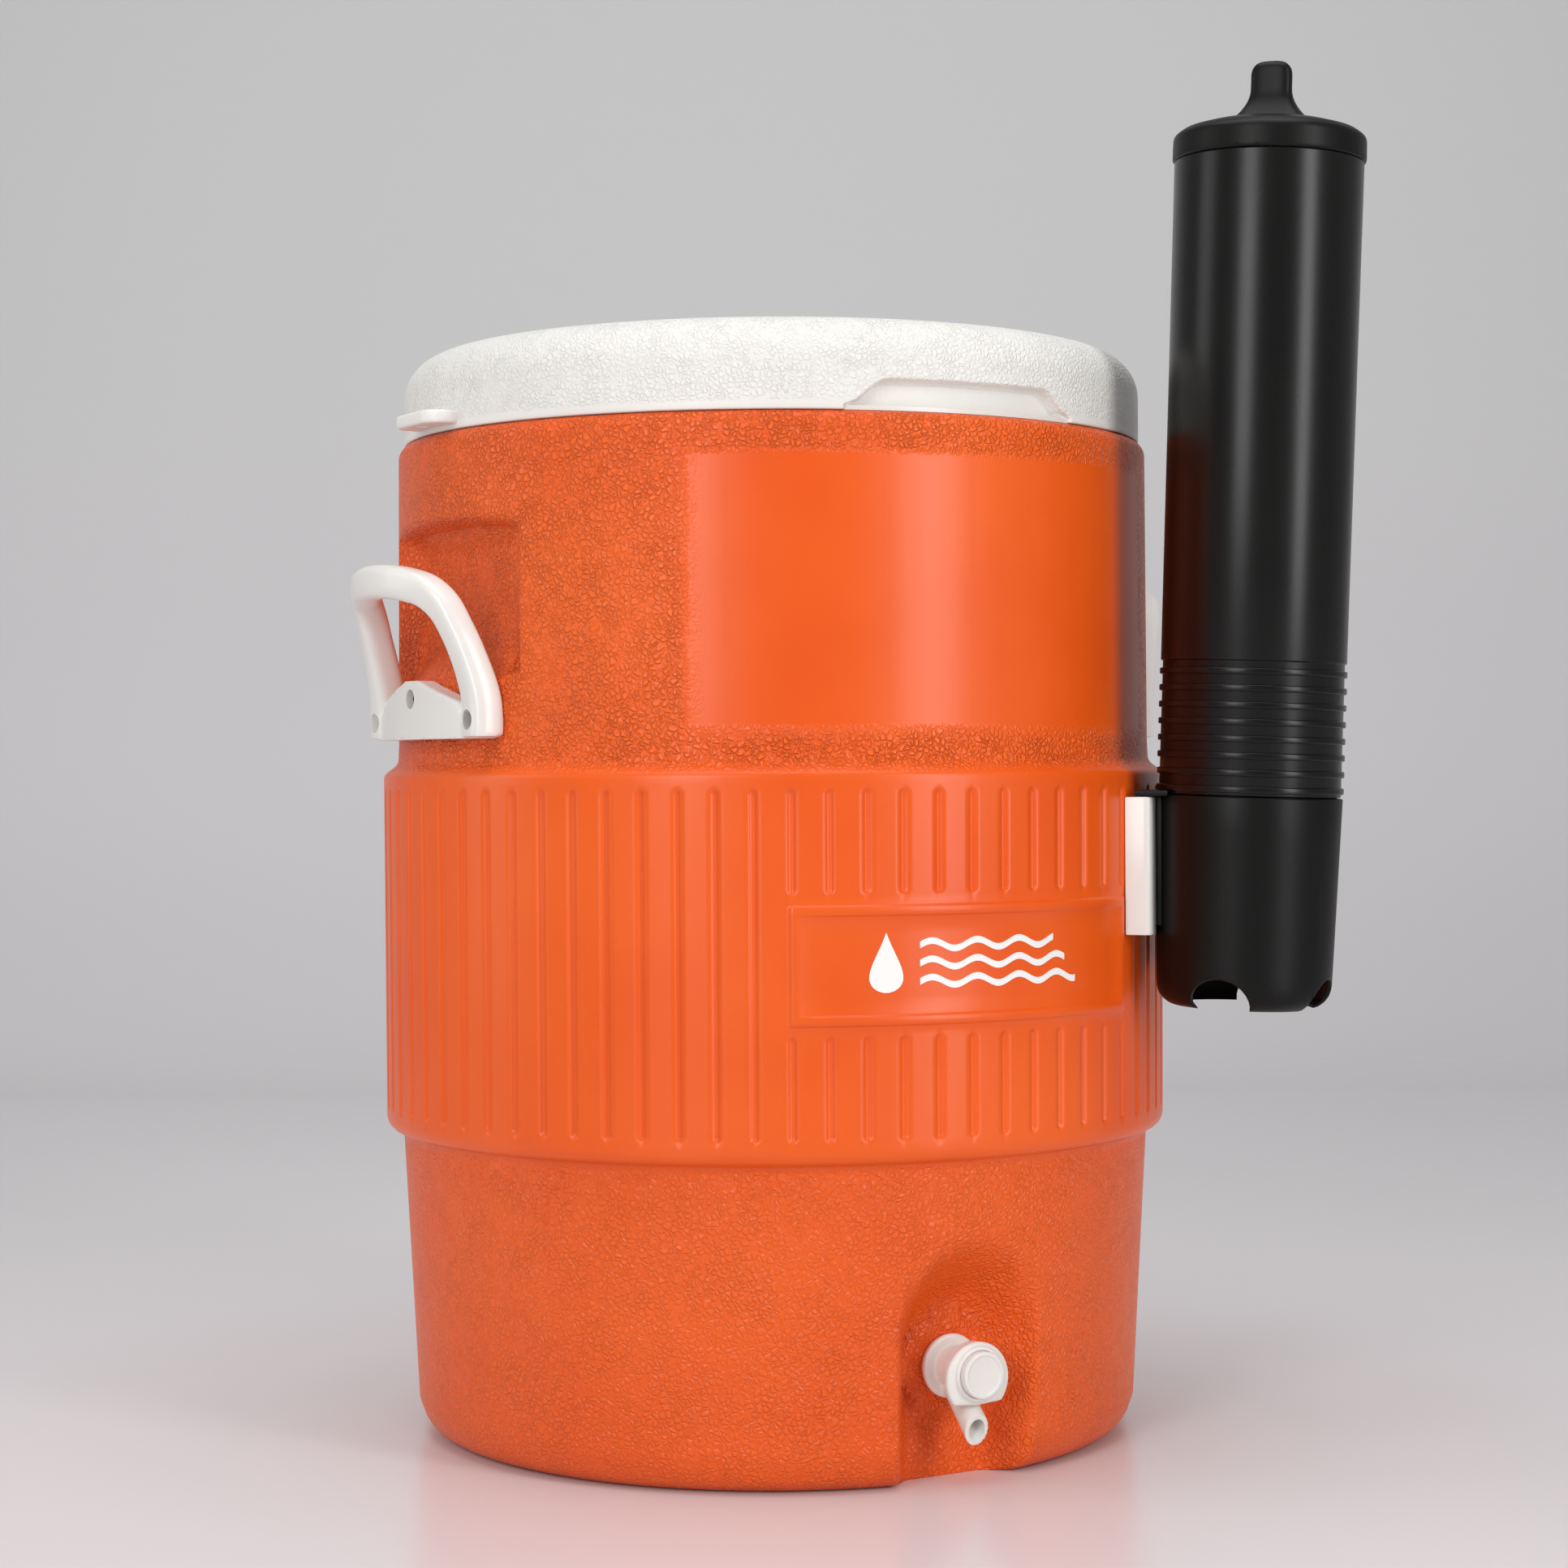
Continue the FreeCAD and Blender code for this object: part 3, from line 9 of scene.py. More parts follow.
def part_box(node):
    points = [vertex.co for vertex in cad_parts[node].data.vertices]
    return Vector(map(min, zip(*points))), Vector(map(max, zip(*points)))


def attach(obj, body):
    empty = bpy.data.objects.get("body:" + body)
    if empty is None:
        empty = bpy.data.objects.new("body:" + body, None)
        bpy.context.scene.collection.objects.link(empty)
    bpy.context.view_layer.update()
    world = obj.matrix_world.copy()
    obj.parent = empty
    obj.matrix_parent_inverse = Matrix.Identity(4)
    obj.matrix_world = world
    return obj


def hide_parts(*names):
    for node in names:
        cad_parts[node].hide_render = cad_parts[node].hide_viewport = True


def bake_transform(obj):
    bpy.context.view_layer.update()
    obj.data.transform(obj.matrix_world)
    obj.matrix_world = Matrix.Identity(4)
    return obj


# Drinking water cooler with a push tap and a cup dispenser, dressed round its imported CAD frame.
# Shapes are worked out in millimetres in the CAD frame and become metres in makePiece.
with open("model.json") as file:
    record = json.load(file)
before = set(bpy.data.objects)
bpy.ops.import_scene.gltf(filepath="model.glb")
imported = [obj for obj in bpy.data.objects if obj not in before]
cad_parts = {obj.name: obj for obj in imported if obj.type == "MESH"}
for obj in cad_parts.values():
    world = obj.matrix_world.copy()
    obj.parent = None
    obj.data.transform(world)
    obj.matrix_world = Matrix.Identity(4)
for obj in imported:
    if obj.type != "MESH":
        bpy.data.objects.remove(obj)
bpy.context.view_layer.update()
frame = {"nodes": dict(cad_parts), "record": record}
mm = 0.001
print("frame loaded:", len(frame["nodes"]), "nodes")


def hexColour(text):
    channels = [int(text[i:i + 2], 16) / 255 for i in (1, 3, 5)]
    return [c / 12.92 if c <= 0.04045 else ((c + 0.055) / 1.055) ** 2.4 for c in channels] + [1]


def addNode(tree, kind, inputs=None, **settings):
    node = tree.nodes.new(kind)
    for key, value in settings.items():
        setattr(node, key, value)
    for key, value in (inputs or {}).items():
        if isinstance(value, bpy.types.NodeSocket):
            tree.links.new(value, node.inputs[key])
        else:
            node.inputs[key].default_value = value
    return node


def nodeBox(name):
    low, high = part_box(name)
    return low / mm, high / mm


def makePiece(name, points, faces):
    mesh = bpy.data.meshes.new(name)
    mesh.from_pydata((np.asarray(points, float) * mm).tolist(), [], faces)
    mesh.validate()
    work = bmesh.new()
    work.from_mesh(mesh)
    bmesh.ops.remove_doubles(work, verts=work.verts, dist=1e-6)
    bmesh.ops.recalc_face_normals(work, faces=work.faces)
    work.to_mesh(mesh)
    work.free()
    mesh.polygons.foreach_set("use_smooth", [True] * len(mesh.polygons))
    piece = bpy.data.objects.new(name, mesh)
    bpy.context.scene.collection.objects.link(piece)
    return piece


def moved(points, matrix):
    points = np.asarray(points, float)
    turn = np.array(matrix.to_3x3())
    return points @ turn.T + np.array(matrix.translation)


def joinShapes(*shapes):
    points, faces = [], []
    for shapePoints, shapeFaces in shapes:
        start = len(points)
        points.extend(np.asarray(shapePoints, float).tolist())
        faces.extend([tuple(corner + start for corner in face) for face in shapeFaces])
    return np.array(points), faces


def settle(piece):
    # modifiers become plain mesh
    view = bpy.context.evaluated_depsgraph_get()
    view.update()
    mesh = bpy.data.meshes.new_from_object(piece.evaluated_get(view), depsgraph=view)
    piece.modifiers.clear()
    piece.data = mesh
    return piece


def dress(piece, body, slotName, material, *nodes):
    piece.data.materials.clear()
    piece.data.materials.append(material)
    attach(piece, body)
    if nodes:
        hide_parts(*nodes)
    return piece


def roundCorners(corners, steps=5):
    # corners are (across, along, radius); open line, ends kept
    line = []
    last = len(corners) - 1
    for here, (across, along, radius) in enumerate(corners):
        spot = Vector((across, along))
        if radius <= 0 or here in (0, last):
            line.append(tuple(spot))
            continue
        back = Vector(corners[here - 1][:2]) - spot
        ahead = Vector(corners[here + 1][:2]) - spot
        angle = back.angle(ahead)
        cutBack = min(radius / math.tan(angle / 2), back.length * 0.49, ahead.length * 0.49)
        real = cutBack * math.tan(angle / 2)
        middle = (back.normalized() + ahead.normalized()).normalized()
        centre = spot + middle * (real / math.sin(angle / 2))
        first = spot + back.normalized() * cutBack - centre
        turn = math.pi - angle
        way = -1 if back.x * ahead.y - back.y * ahead.x > 0 else 1
        for step in range(steps + 1):
            spin = Matrix.Rotation(way * turn * step / steps, 2)
            line.append(tuple(centre + spin @ first))
    return line


def turned(line, segments=128, closed=False):
    # solid of revolution about Z from (radius, height) pairs
    points, rows = [], []
    for radius, height in line:
        if radius < 1e-6:
            rows.append([len(points)] * segments)
            points.append((0, 0, height))
            continue
        rows.append(list(range(len(points), len(points) + segments)))
        for step in range(segments):
            angle = 2 * math.pi * step / segments
            points.append((radius * math.cos(angle), radius * math.sin(angle), height))
    pairs = list(zip(rows, rows[1:])) + ([(rows[-1], rows[0])] if closed else [])
    return np.array(points), stitch(pairs, segments)


def stitch(pairs, segments):
    faces = []
    for low, high in pairs:
        for step in range(segments):
            after = (step + 1) % segments
            face = []
            for corner in (low[step], low[after], high[after], high[step]):
                if corner not in face:
                    face.append(corner)
            if len(face) > 2:
                faces.append(tuple(face))
    return faces


def prism(outline, low, high, radius=0.8, steps=3):
    # upright block on a closed outline, its rims rounded
    outline = np.asarray(outline, float)
    area = np.sum(outline[:, 0] * np.roll(outline[:, 1], -1) - np.roll(outline[:, 0], -1) * outline[:, 1])
    if area < 0:
        outline = outline[::-1]
    before, after = np.roll(outline, 1, 0), np.roll(outline, -1, 0)
    inA, inB = outline - before, after - outline
    normals = [np.column_stack((-side[:, 1], side[:, 0])) / np.linalg.norm(side, axis=1)[:, None]
               for side in (inA, inB)]
    inward = normals[0] + normals[1]
    inward /= np.maximum(1 + np.sum(normals[0] * normals[1], axis=1), 0.35)[:, None]
    quarter = [math.pi / 2 * step / steps for step in range(steps + 1)]
    rows = [(radius * (1 - math.sin(a)), low + radius * (1 - math.cos(a))) for a in quarter]
    rows += [(radius * (1 - math.cos(a)), high - radius * (1 - math.sin(a))) for a in quarter]
    count = len(outline)
    points = np.vstack([np.column_stack((outline + inward * inset, np.full(count, height)))
                        for inset, height in rows])
    loops = [list(range(row * count, (row + 1) * count)) for row in range(len(rows))]
    faces = stitch(list(zip(loops, loops[1:])), count)
    faces.append(tuple(reversed(loops[0])))
    faces.append(tuple(loops[-1]))
    return points, faces


def arcPoints(centreX, centreY, radius, start, end, steps):
    return [(centreX + radius * math.cos(math.radians(start + (end - start) * i / steps)),
             centreY + radius * math.sin(math.radians(start + (end - start) * i / steps)))
            for i in range(steps + 1)]


def throughPoints(stations, count):
    # smooth run through every row of numbers in stations
    rows = np.asarray(stations, float)
    along = np.r_[0, np.cumsum(np.linalg.norm(np.diff(rows[:, :3], axis=0), axis=1))]
    slopes = np.gradient(rows, along, axis=0)
    result = []
    for spot in np.linspace(0, along[-1], count):
        i = min(int(np.searchsorted(along, spot, side="right")) - 1, len(rows) - 2)
        span = along[i + 1] - along[i]
        u = (spot - along[i]) / span
        result.append((2 * u ** 3 - 3 * u ** 2 + 1) * rows[i] + (u ** 3 - 2 * u ** 2 + u) * span * slopes[i]
                      + (3 * u ** 2 - 2 * u ** 3) * rows[i + 1] + (u ** 3 - u ** 2) * span * slopes[i + 1])
    return np.array(result)


def softMax(a, b, width):
    overlap = np.maximum(width - np.abs(a - b), 0) / width
    return np.maximum(a, b) + overlap ** 2 * width / 4


def softMin(a, b, width):
    return -softMax(-a, -b, width)


def easeBetween(value, start, end):
    t = np.clip((value - start) / (end - start), 0, 1)
    return t * t * (3 - 2 * t)


def markPoints(piece, name, values):
    layer = piece.data.attributes.new(name, "FLOAT", "POINT")
    layer.data.foreach_set("value", np.asarray(values, np.float32))


def pointsOf(piece):
    flat = np.empty(len(piece.data.vertices) * 3)
    piece.data.vertices.foreach_get("co", flat)
    return flat.reshape(-1, 3) / mm


def fuseSoft(name, shape, voxel, passes):
    # overlapping closed shapes become one moulding with filleted joins
    piece = makePiece(name, *shape)
    remesh = piece.modifiers.new("weld", "REMESH")
    remesh.mode, remesh.voxel_size, remesh.use_smooth_shade = "VOXEL", voxel * mm, True
    ease = piece.modifiers.new("ease", "SMOOTH")
    ease.factor, ease.iterations = 0.5, passes
    return settle(piece)


def nodeTree(name, sizes):
    # Geometry Nodes tree with one named input for each size
    tree = bpy.data.node_groups.new(name, "GeometryNodeTree")
    tree.interface.new_socket("Geometry", in_out="INPUT", socket_type="NodeSocketGeometry")
    tree.interface.new_socket("Geometry", in_out="OUTPUT", socket_type="NodeSocketGeometry")
    for label, value in sizes.items():
        kind = "Material" if isinstance(value, bpy.types.Material) else "Float"
        socket = tree.interface.new_socket(label, in_out="INPUT", socket_type="NodeSocket" + kind)
        if kind == "Float":
            socket.default_value = value
    return tree, addNode(tree, "NodeGroupInput")


def runTree(piece, tree, sizes):
    modifier = piece.modifiers.new(tree.name, "NODES")
    modifier.node_group = tree
    for item in tree.interface.items_tree:
        if item.in_out == "INPUT" and item.name in sizes:
            modifier[item.identifier] = sizes[item.name]
    return settle(piece)


def closeTree(tree, geometry, material):
    real = addNode(tree, "GeometryNodeRealizeInstances", {0: geometry})
    painted = addNode(tree, "GeometryNodeSetMaterial", {"Geometry": real.outputs[0], "Material": material})
    addNode(tree, "NodeGroupOutput", {0: painted.outputs[0]})


def shaderTree(name, colour, roughness, **values):
    material = bpy.data.materials.new(name)
    material.use_nodes = True
    tree = material.node_tree
    shader = tree.nodes["Principled BSDF"]
    shader.inputs["Base Color"].default_value = hexColour(colour)
    shader.inputs["Roughness"].default_value = roughness
    for key, value in values.items():
        shader.inputs[key.replace("_", " ")].default_value = value
    return material, tree, shader


def leatherPlastic(name, colour, shade, light, roughness, cell, depth, strength):
    # Injection moulded polyethylene from an etched mould: satin, with a raised leather grain.
    # The grain follows the "grain" attribute, 1 where the mould was etched and 0 where polished.
    material, tree, shader = shaderTree(name, colour, roughness, IOR=1.42)
    place = addNode(tree, "ShaderNodeTexCoord").outputs["Object"]
    etched = addNode(tree, "ShaderNodeAttribute", attribute_name="grain").outputs["Fac"]
    warp = addNode(tree, "ShaderNodeTexNoise", {"Vector": place, "Scale": 0.35 / (cell * mm), "Detail": 2.0})
    bend = addNode(tree, "ShaderNodeVectorMath", {0: warp.outputs["Color"], "Scale": cell * mm * 1.6},
                   operation="SCALE")
    bent = addNode(tree, "ShaderNodeVectorMath", {0: place, 1: bend.outputs[0]}, operation="ADD")
    wrinkles = addNode(tree, "ShaderNodeTexVoronoi", {"Vector": bent.outputs[0], "Scale": 1 / (cell * mm),
                       "Randomness": 1.0}, feature="DISTANCE_TO_EDGE")
    ridge = addNode(tree, "ShaderNodeMapRange", {"Value": wrinkles.outputs["Distance"], "From Max": 0.28},
                    interpolation_type="SMOOTHSTEP")
    patches = addNode(tree, "ShaderNodeTexNoise", {"Vector": place, "Scale": 0.12 / (cell * mm), "Detail": 1.0})
    swell = addNode(tree, "ShaderNodeMapRange", {"Value": patches.outputs["Fac"], "From Min": 0.3,
                    "From Max": 0.7, "To Min": 0.55, "To Max": 1.0})
    height = addNode(tree, "ShaderNodeMath", {0: ridge.outputs[0], 1: swell.outputs[0]}, operation="MULTIPLY")
    masked = addNode(tree, "ShaderNodeMath", {0: height.outputs[0], 1: etched}, operation="MULTIPLY")
    bump = addNode(tree, "ShaderNodeBump", {"Height": masked.outputs[0], "Distance": depth * mm,
                   "Strength": strength})
    # colour drifts a little where resin cooled unevenly; the raised grain is mixed towards the light colour as a
    # painted highlight, leaving painted shade in the wrinkle floors
    drift = addNode(tree, "ShaderNodeTexNoise", {"Vector": place, "Scale": 9.0, "Detail": 3.0})
    tone = addNode(tree, "ShaderNodeMix", {"Factor": drift.outputs["Fac"], "A": hexColour(shade),
                   "B": hexColour(light)}, data_type="RGBA")
    paintedRidgeHighlight = addNode(tree, "ShaderNodeMapRange", {"Value": masked.outputs[0], "To Min": 0.0, "To Max": 0.6})
    paint = addNode(tree, "ShaderNodeMix", {"Factor": paintedRidgeHighlight.outputs[0], "A": tone.outputs["Result"],
                    "B": hexColour(light)}, data_type="RGBA")
    gloss = addNode(tree, "ShaderNodeMapRange", {"Value": masked.outputs[0], "To Min": roughness,
                    "To Max": roughness + 0.08})
    for socket, value in (("Base Color", paint.outputs["Result"]), ("Roughness", gloss.outputs[0]),
                          ("Normal", bump.outputs[0])):
        tree.links.new(value, shader.inputs[socket])
    return material


def mouldedPlastic(name, colour, other, roughness, speck, depth, **values):
    # Plain moulded plastic: even colour, a faint cloudiness and the mould's fine spark finish.
    material, tree, shader = shaderTree(name, colour, roughness, **values)
    place = addNode(tree, "ShaderNodeTexCoord").outputs["Object"]
    cloud = addNode(tree, "ShaderNodeTexNoise", {"Vector": place, "Scale": 14.0, "Detail": 3.0})
    tone = addNode(tree, "ShaderNodeMix", {"Factor": cloud.outputs["Fac"], "A": hexColour(colour),
                   "B": hexColour(other)}, data_type="RGBA")
    spark = addNode(tree, "ShaderNodeTexNoise", {"Vector": place, "Scale": 1 / (speck * mm), "Detail": 2.0})
    bump = addNode(tree, "ShaderNodeBump", {"Height": spark.outputs["Fac"], "Distance": depth * mm,
                   "Strength": 0.6})
    gloss = addNode(tree, "ShaderNodeMapRange", {"Value": cloud.outputs["Fac"], "To Min": roughness - 0.03,
                    "To Max": roughness + 0.04})
    for socket, value in (("Base Color", tone.outputs["Result"]), ("Roughness", gloss.outputs[0]),
                          ("Normal", bump.outputs[0])):
        tree.links.new(value, shader.inputs[socket])
    return material


def turnedSteel(name, colour, roughness, ringWidth):
    # Cold-formed stainless steel: bright, with fine tool marks.
    material, tree, shader = shaderTree(name, colour, roughness, Metallic=1.0)
    place = addNode(tree, "ShaderNodeTexCoord").outputs["Object"]
    marks = addNode(tree, "ShaderNodeTexNoise", {"Vector": place, "Scale": 1 / (ringWidth * mm), "Detail": 4.0})
    gloss = addNode(tree, "ShaderNodeMapRange", {"Value": marks.outputs["Fac"], "To Min": roughness - 0.08,
                    "To Max": roughness + 0.12})
    bump = addNode(tree, "ShaderNodeBump", {"Height": marks.outputs["Fac"], "Distance": 0.02 * mm})
    tree.links.new(gloss.outputs[0], shader.inputs["Roughness"])
    tree.links.new(bump.outputs[0], shader.inputs["Normal"])
    return material


def cellFoam(name, colour, shade, cell):
    # Poured polyurethane foam: matte cream with a cut-cell texture.
    material, tree, shader = shaderTree(name, colour, 0.9)
    place = addNode(tree, "ShaderNodeTexCoord").outputs["Object"]
    cells = addNode(tree, "ShaderNodeTexVoronoi", {"Vector": place, "Scale": 1 / (cell * mm)})
    tone = addNode(tree, "ShaderNodeMix", {"Factor": cells.outputs["Distance"], "A": hexColour(shade),
                   "B": hexColour(colour)}, data_type="RGBA")
    bump = addNode(tree, "ShaderNodeBump", {"Height": cells.outputs["Distance"], "Distance": 0.3 * mm})
    tree.links.new(tone.outputs["Result"], shader.inputs["Base Color"])
    tree.links.new(bump.outputs[0], shader.inputs["Normal"])
    return material


finish = {
    # the last colour of each leather grain finish is also the painted highlight on its raised grain
    "orange": leatherPlastic("orange_polyethylene_leather_grain", "#E4500A", "#DE4A06", "#F66A20",
                             0.32, 2.8, 1.0, 1.0),
    "white": leatherPlastic("white_polyethylene_leather_grain", "#E9E7E1", "#E4E1DA", "#EEECE7",
                            0.42, 2.5, 0.5, 0.9),
    "gloss": mouldedPlastic("white_polypropylene_gloss", "#E9E7E2", "#E4E1DC", 0.22, 1.2, 0.01,
                            IOR=1.49, Subsurface_Weight=0.08, Subsurface_Scale=0.004),
    "tap": mouldedPlastic("white_acetal_tap", "#EAE7E2", "#E4E1DB", 0.30, 1.0, 0.01,
                          IOR=1.48, Subsurface_Weight=0.1, Subsurface_Scale=0.003),
    "liner": mouldedPlastic("white_food_grade_polypropylene", "#E6E4DF", "#DFDDD7", 0.30, 2.0, 0.02, IOR=1.49),
    "blackSatin": mouldedPlastic("black_polypropylene_satin", "#0B0A09", "#0F0E0C", 0.27, 0.9, 0.03, IOR=1.42,
                                 Specular_IOR_Level=0.4),
    "blackMatte": mouldedPlastic("black_polypropylene_spark_finish", "#0A0A09", "#0E0E0C", 0.40, 0.8, 0.06,
                                 IOR=1.38, Specular_IOR_Level=0.3),
    "rubber": mouldedPlastic("black_thermoplastic_rubber", "#151515", "#1B1B1B", 0.62, 1.0, 0.05, IOR=1.5),
    "silicone": mouldedPlastic("white_silicone_rubber", "#E4E3DE", "#D9D8D2", 0.55, 1.0, 0.02, IOR=1.42,
                               Subsurface_Weight=0.2, Subsurface_Scale=0.003),
    "nylon": mouldedPlastic("grey_glass_filled_nylon", "#8B8A86", "#7F7E7B", 0.5, 1.0, 0.05, IOR=1.53),
    # screw steel is darkened nearly to black, partly for the heads' dark oxide and partly as painted shade of the
    # counterbores they sit in
    "steel": turnedSteel("steel_screw_dark_oxide_and_painted_shade", "#211F1D", 0.34, 0.8),
    "spring": turnedSteel("stainless_spring_wire", "#B4B2AE", 0.28, 0.5),
    "foam": cellFoam("cream_polyurethane_foam", "#E8DCAE", "#D2C38F", 1.5),
    "ink": mouldedPlastic("white_pad_print_ink", "#F6F4F1", "#F1EEEA", 0.45, 0.6, 0.01, IOR=1.5),
}
print("finishes made:", len(finish))


# the outer shell: millimetres from the floor and from the middle of the cooler
shellHigh = nodeBox("outer_shell")[1]
shell = {
    "wall": 3.0, "bandRadius": 203.2, "bandLowRadius": 202.5, "bandLow": 156.0, "bandTop": 336.0,
    "upperLow": 346.0, "upperRadius": 195.3, "shoulderRadius": 194.6, "top": shellHigh.z,
    "baseRadius": 185.6, "lowerRadius": 193.9, "baseRound": 17.0, "bandRound": 7.0, "shoulderRound": 6.5,
    "linerHole": 165.8, "fluteCount": 72, "columnSpots": (-1.25, -0.72, -0.42, -0.14, 0.14, 0.42, 0.72, 1.25),
    "fieldAngle": 42.0, "fieldLow": 357.0, "fieldHigh": 489.0,
}
panel = {"low": 221.5, "high": 277.1, "halfAngle": 27.75, "fieldAngle": 26.3, "lift": 1.3, "border": 4.6,
         "edge": 0.65}
alcove = {"back": 160.5, "half": 24.0, "spring": 60.0, "widen": 0.61, "rise": 0.407,
          "padRadius": 26.0, "padLift": 4.5, "padHeight": 54.0, "corner": 11.0, "lip": 6.0}
recess = {"back": 170.0, "half": 59.0, "low": 389.0, "high": 456.0, "widen": 1.161, "drop": 0.194,
          "rise": 0.319, "corner": 9.0, "lip": 5.0}
flutes = {"Count": 72.0, "Depth": 1.5 * mm, "Low": 167.3 * mm, "High": 331.8 * mm, "Gap Low": 217.0 * mm,
          "Gap High": 282.0 * mm, "Gap Angle": math.radians(29.8), "Half Width": 2.4 * mm,
          "Floor Half Width": 0.7 * mm}


def shellProfile():
    # (radius, height) rows from the base's centre up the outside and over the rim
    s = shell
    foot = s["baseRound"]
    rows = [(0, 0), (60, 0), (120, 0), (150, 0)]
    rows += [(s["baseRadius"] - foot * (1 - math.sin(a)), foot * (1 - math.cos(a)))
             for a in np.linspace(0, math.pi / 2, 8)[:-1]]
    slope = (s["lowerRadius"] - s["baseRadius"]) / s["bandLow"]
    for height in list(np.arange(foot, 128, 3.8)) + [134, 144, 151, s["bandLow"]]:
        rows.append((s["baseRadius"] + slope * height, height))
    edge = s["bandRound"]
    rows += [(s["bandLowRadius"] - edge * (1 - math.sin(a)), s["bandLow"] + edge * (1 - math.cos(a)))
             for a in np.linspace(0, math.pi / 2, 6)]
    stops = [flutes["Low"] / mm, flutes["Gap Low"] / mm, flutes["Gap High"] / mm, flutes["High"] / mm]
    heights = [stop + side * shift for stop, side in zip(stops, (1, -1, 1, -1))
               for shift in (-0.1, 0.8, 1.7, 3)]
    for middle in (panel["low"], panel["low"] + panel["border"], panel["high"] - panel["border"],
                   panel["high"]):
        heights += [middle - panel["edge"], middle - 0.3, middle + 0.3, middle + panel["edge"]]
    heights += [190, 235, 250, 264, 300, 316]
    for height in sorted(heights):
        rows.append((bandAt(height), height))
    corner = [(bandAt(s["bandTop"] - 2.5), s["bandTop"] - 2.5, 0), (s["bandRadius"], s["bandTop"] + 2.5, 4),
              (s["upperRadius"] + 0.5, s["upperLow"] - 2, 5), (s["upperRadius"], s["upperLow"] + 8, 0)]
    rows += roundCorners(corner, 4)
    fade = (s["shoulderRadius"] - s["upperRadius"]) / (s["top"] - s["upperLow"])
    heights = [362, 370] + list(np.arange(376, 394, 2.6)) + list(np.arange(398, 450, 6))
    heights += list(np.arange(451, 470, 1.7)) + [475, 482, 487, 491, 496]
    rows += [(s["upperRadius"] + fade * (height - s["upperLow"]), height) for height in heights]
    edge = s["shoulderRound"]
    rows += [(s["shoulderRadius"] - edge * (1 - math.cos(a)), s["top"] - edge * (1 - math.sin(a)))
             for a in np.linspace(0, math.pi / 2, 7)]
    rows += [(178, s["top"]), (s["linerHole"], s["top"])]
    return rows


def bandAt(height):
    share = (height - shell["bandLow"]) / (shell["bandTop"] - shell["bandLow"])
    return shell["bandLowRadius"] + (shell["bandRadius"] - shell["bandLowRadius"]) * share


def alcoveReach(theta, height):
    # distance from the axis to the alcove's surface; theta is 0 at the tap
    a = alcove
    low, high = np.full(theta.shape, 100.0), np.full(theta.shape, 240.0)
    for _ in range(26):
        reach = (low + high) / 2
        depth = reach * np.cos(theta) - a["back"]
        above = np.maximum(height - a["spring"] - a["rise"] * depth, 0)
        inside = np.hypot(reach * np.sin(theta), above) < a["half"] + a["widen"] * depth
        low, high = np.where(inside, low, reach), np.where(inside, reach, high)
    cosine = np.maximum(np.cos(theta), 0.05)
    reach = softMax(a["back"] / cosine, high, a["corner"])
    ring = np.hypot(a["back"] * np.tan(theta), height - a["padHeight"])
    pad = easeBetween(ring, a["padRadius"] + 1.2, a["padRadius"] - 1.2)
    reach = softMax(reach, (a["back"] - 20 + (20 + a["padLift"]) * pad) / cosine, 1.5)
    return np.where(np.cos(theta) > 0.3, reach, 260.0)


def recessReach(theta, height):
    # the same for one finger recess; theta is 0 at the handle
    r = recess
    cosine = np.maximum(np.cos(theta), 0.05)
    steep = r["widen"] * cosine - np.abs(np.sin(theta))
    side = np.where(steep > 0.02, (r["widen"] * r["back"] - r["half"]) / np.maximum(steep, 0.02), 400)
    above = (r["back"] + np.maximum(height - r["high"], 0) / r["rise"]) / cosine
    below = (r["back"] + np.maximum(r["low"] - height, 0) / r["drop"]) / cosine
    shape = softMax(softMax(r["back"] / cosine, side, r["corner"]), above, r["corner"])
    shape = softMax(shape, below, r["corner"])
    return np.where(np.cos(theta) > 0.3, shape, 400.0)


def shellSurface(profile, columns):
    radius = np.array([row[0] for row in profile])[:, None] * np.ones(len(columns))[None, :]
    height = np.array([row[1] for row in profile])[:, None] * np.ones(len(columns))[None, :]
    theta = np.radians(np.asarray(columns))[None, :] * np.ones(len(profile))[:, None]
    wrapped = (theta + math.pi) % (2 * math.pi) - math.pi
    lower = height < 140
    scoop = np.where(lower, alcoveReach(wrapped, height), 400.0)
    flatBase = (height < 0.001) & (radius < 160)
    scoop = np.where(flatBase, 400.0, scoop)
    shape = softMin(radius, scoop, alcove["lip"])
    for turn in (-math.pi / 2, math.pi / 2):
        side = (theta - turn + math.pi) % (2 * math.pi) - math.pi
        grip = np.where((height > 350) & (height < 500), recessReach(side, height), 400.0)
        shape = softMin(shape, grip, recess["lip"])
    p = panel
    degrees = np.abs(np.degrees(wrapped))
    proud = (easeBetween(height, p["low"] - p["edge"], p["low"] + p["edge"])
             * (1 - easeBetween(height, p["high"] - p["edge"], p["high"] + p["edge"]))
             * (1 - easeBetween(degrees, p["halfAngle"] - 0.25, p["halfAngle"] + 0.25)))
    low, high = p["low"] + p["border"], p["high"] - p["border"]
    field = (easeBetween(height, low - p["edge"], low + p["edge"])
             * (1 - easeBetween(height, high - p["edge"], high + p["edge"]))
             * (1 - easeBetween(degrees, p["fieldAngle"] - 0.4, p["fieldAngle"] + 0.4)))
    shape = shape + p["lift"] * (proud - field)
    return shape, height, theta


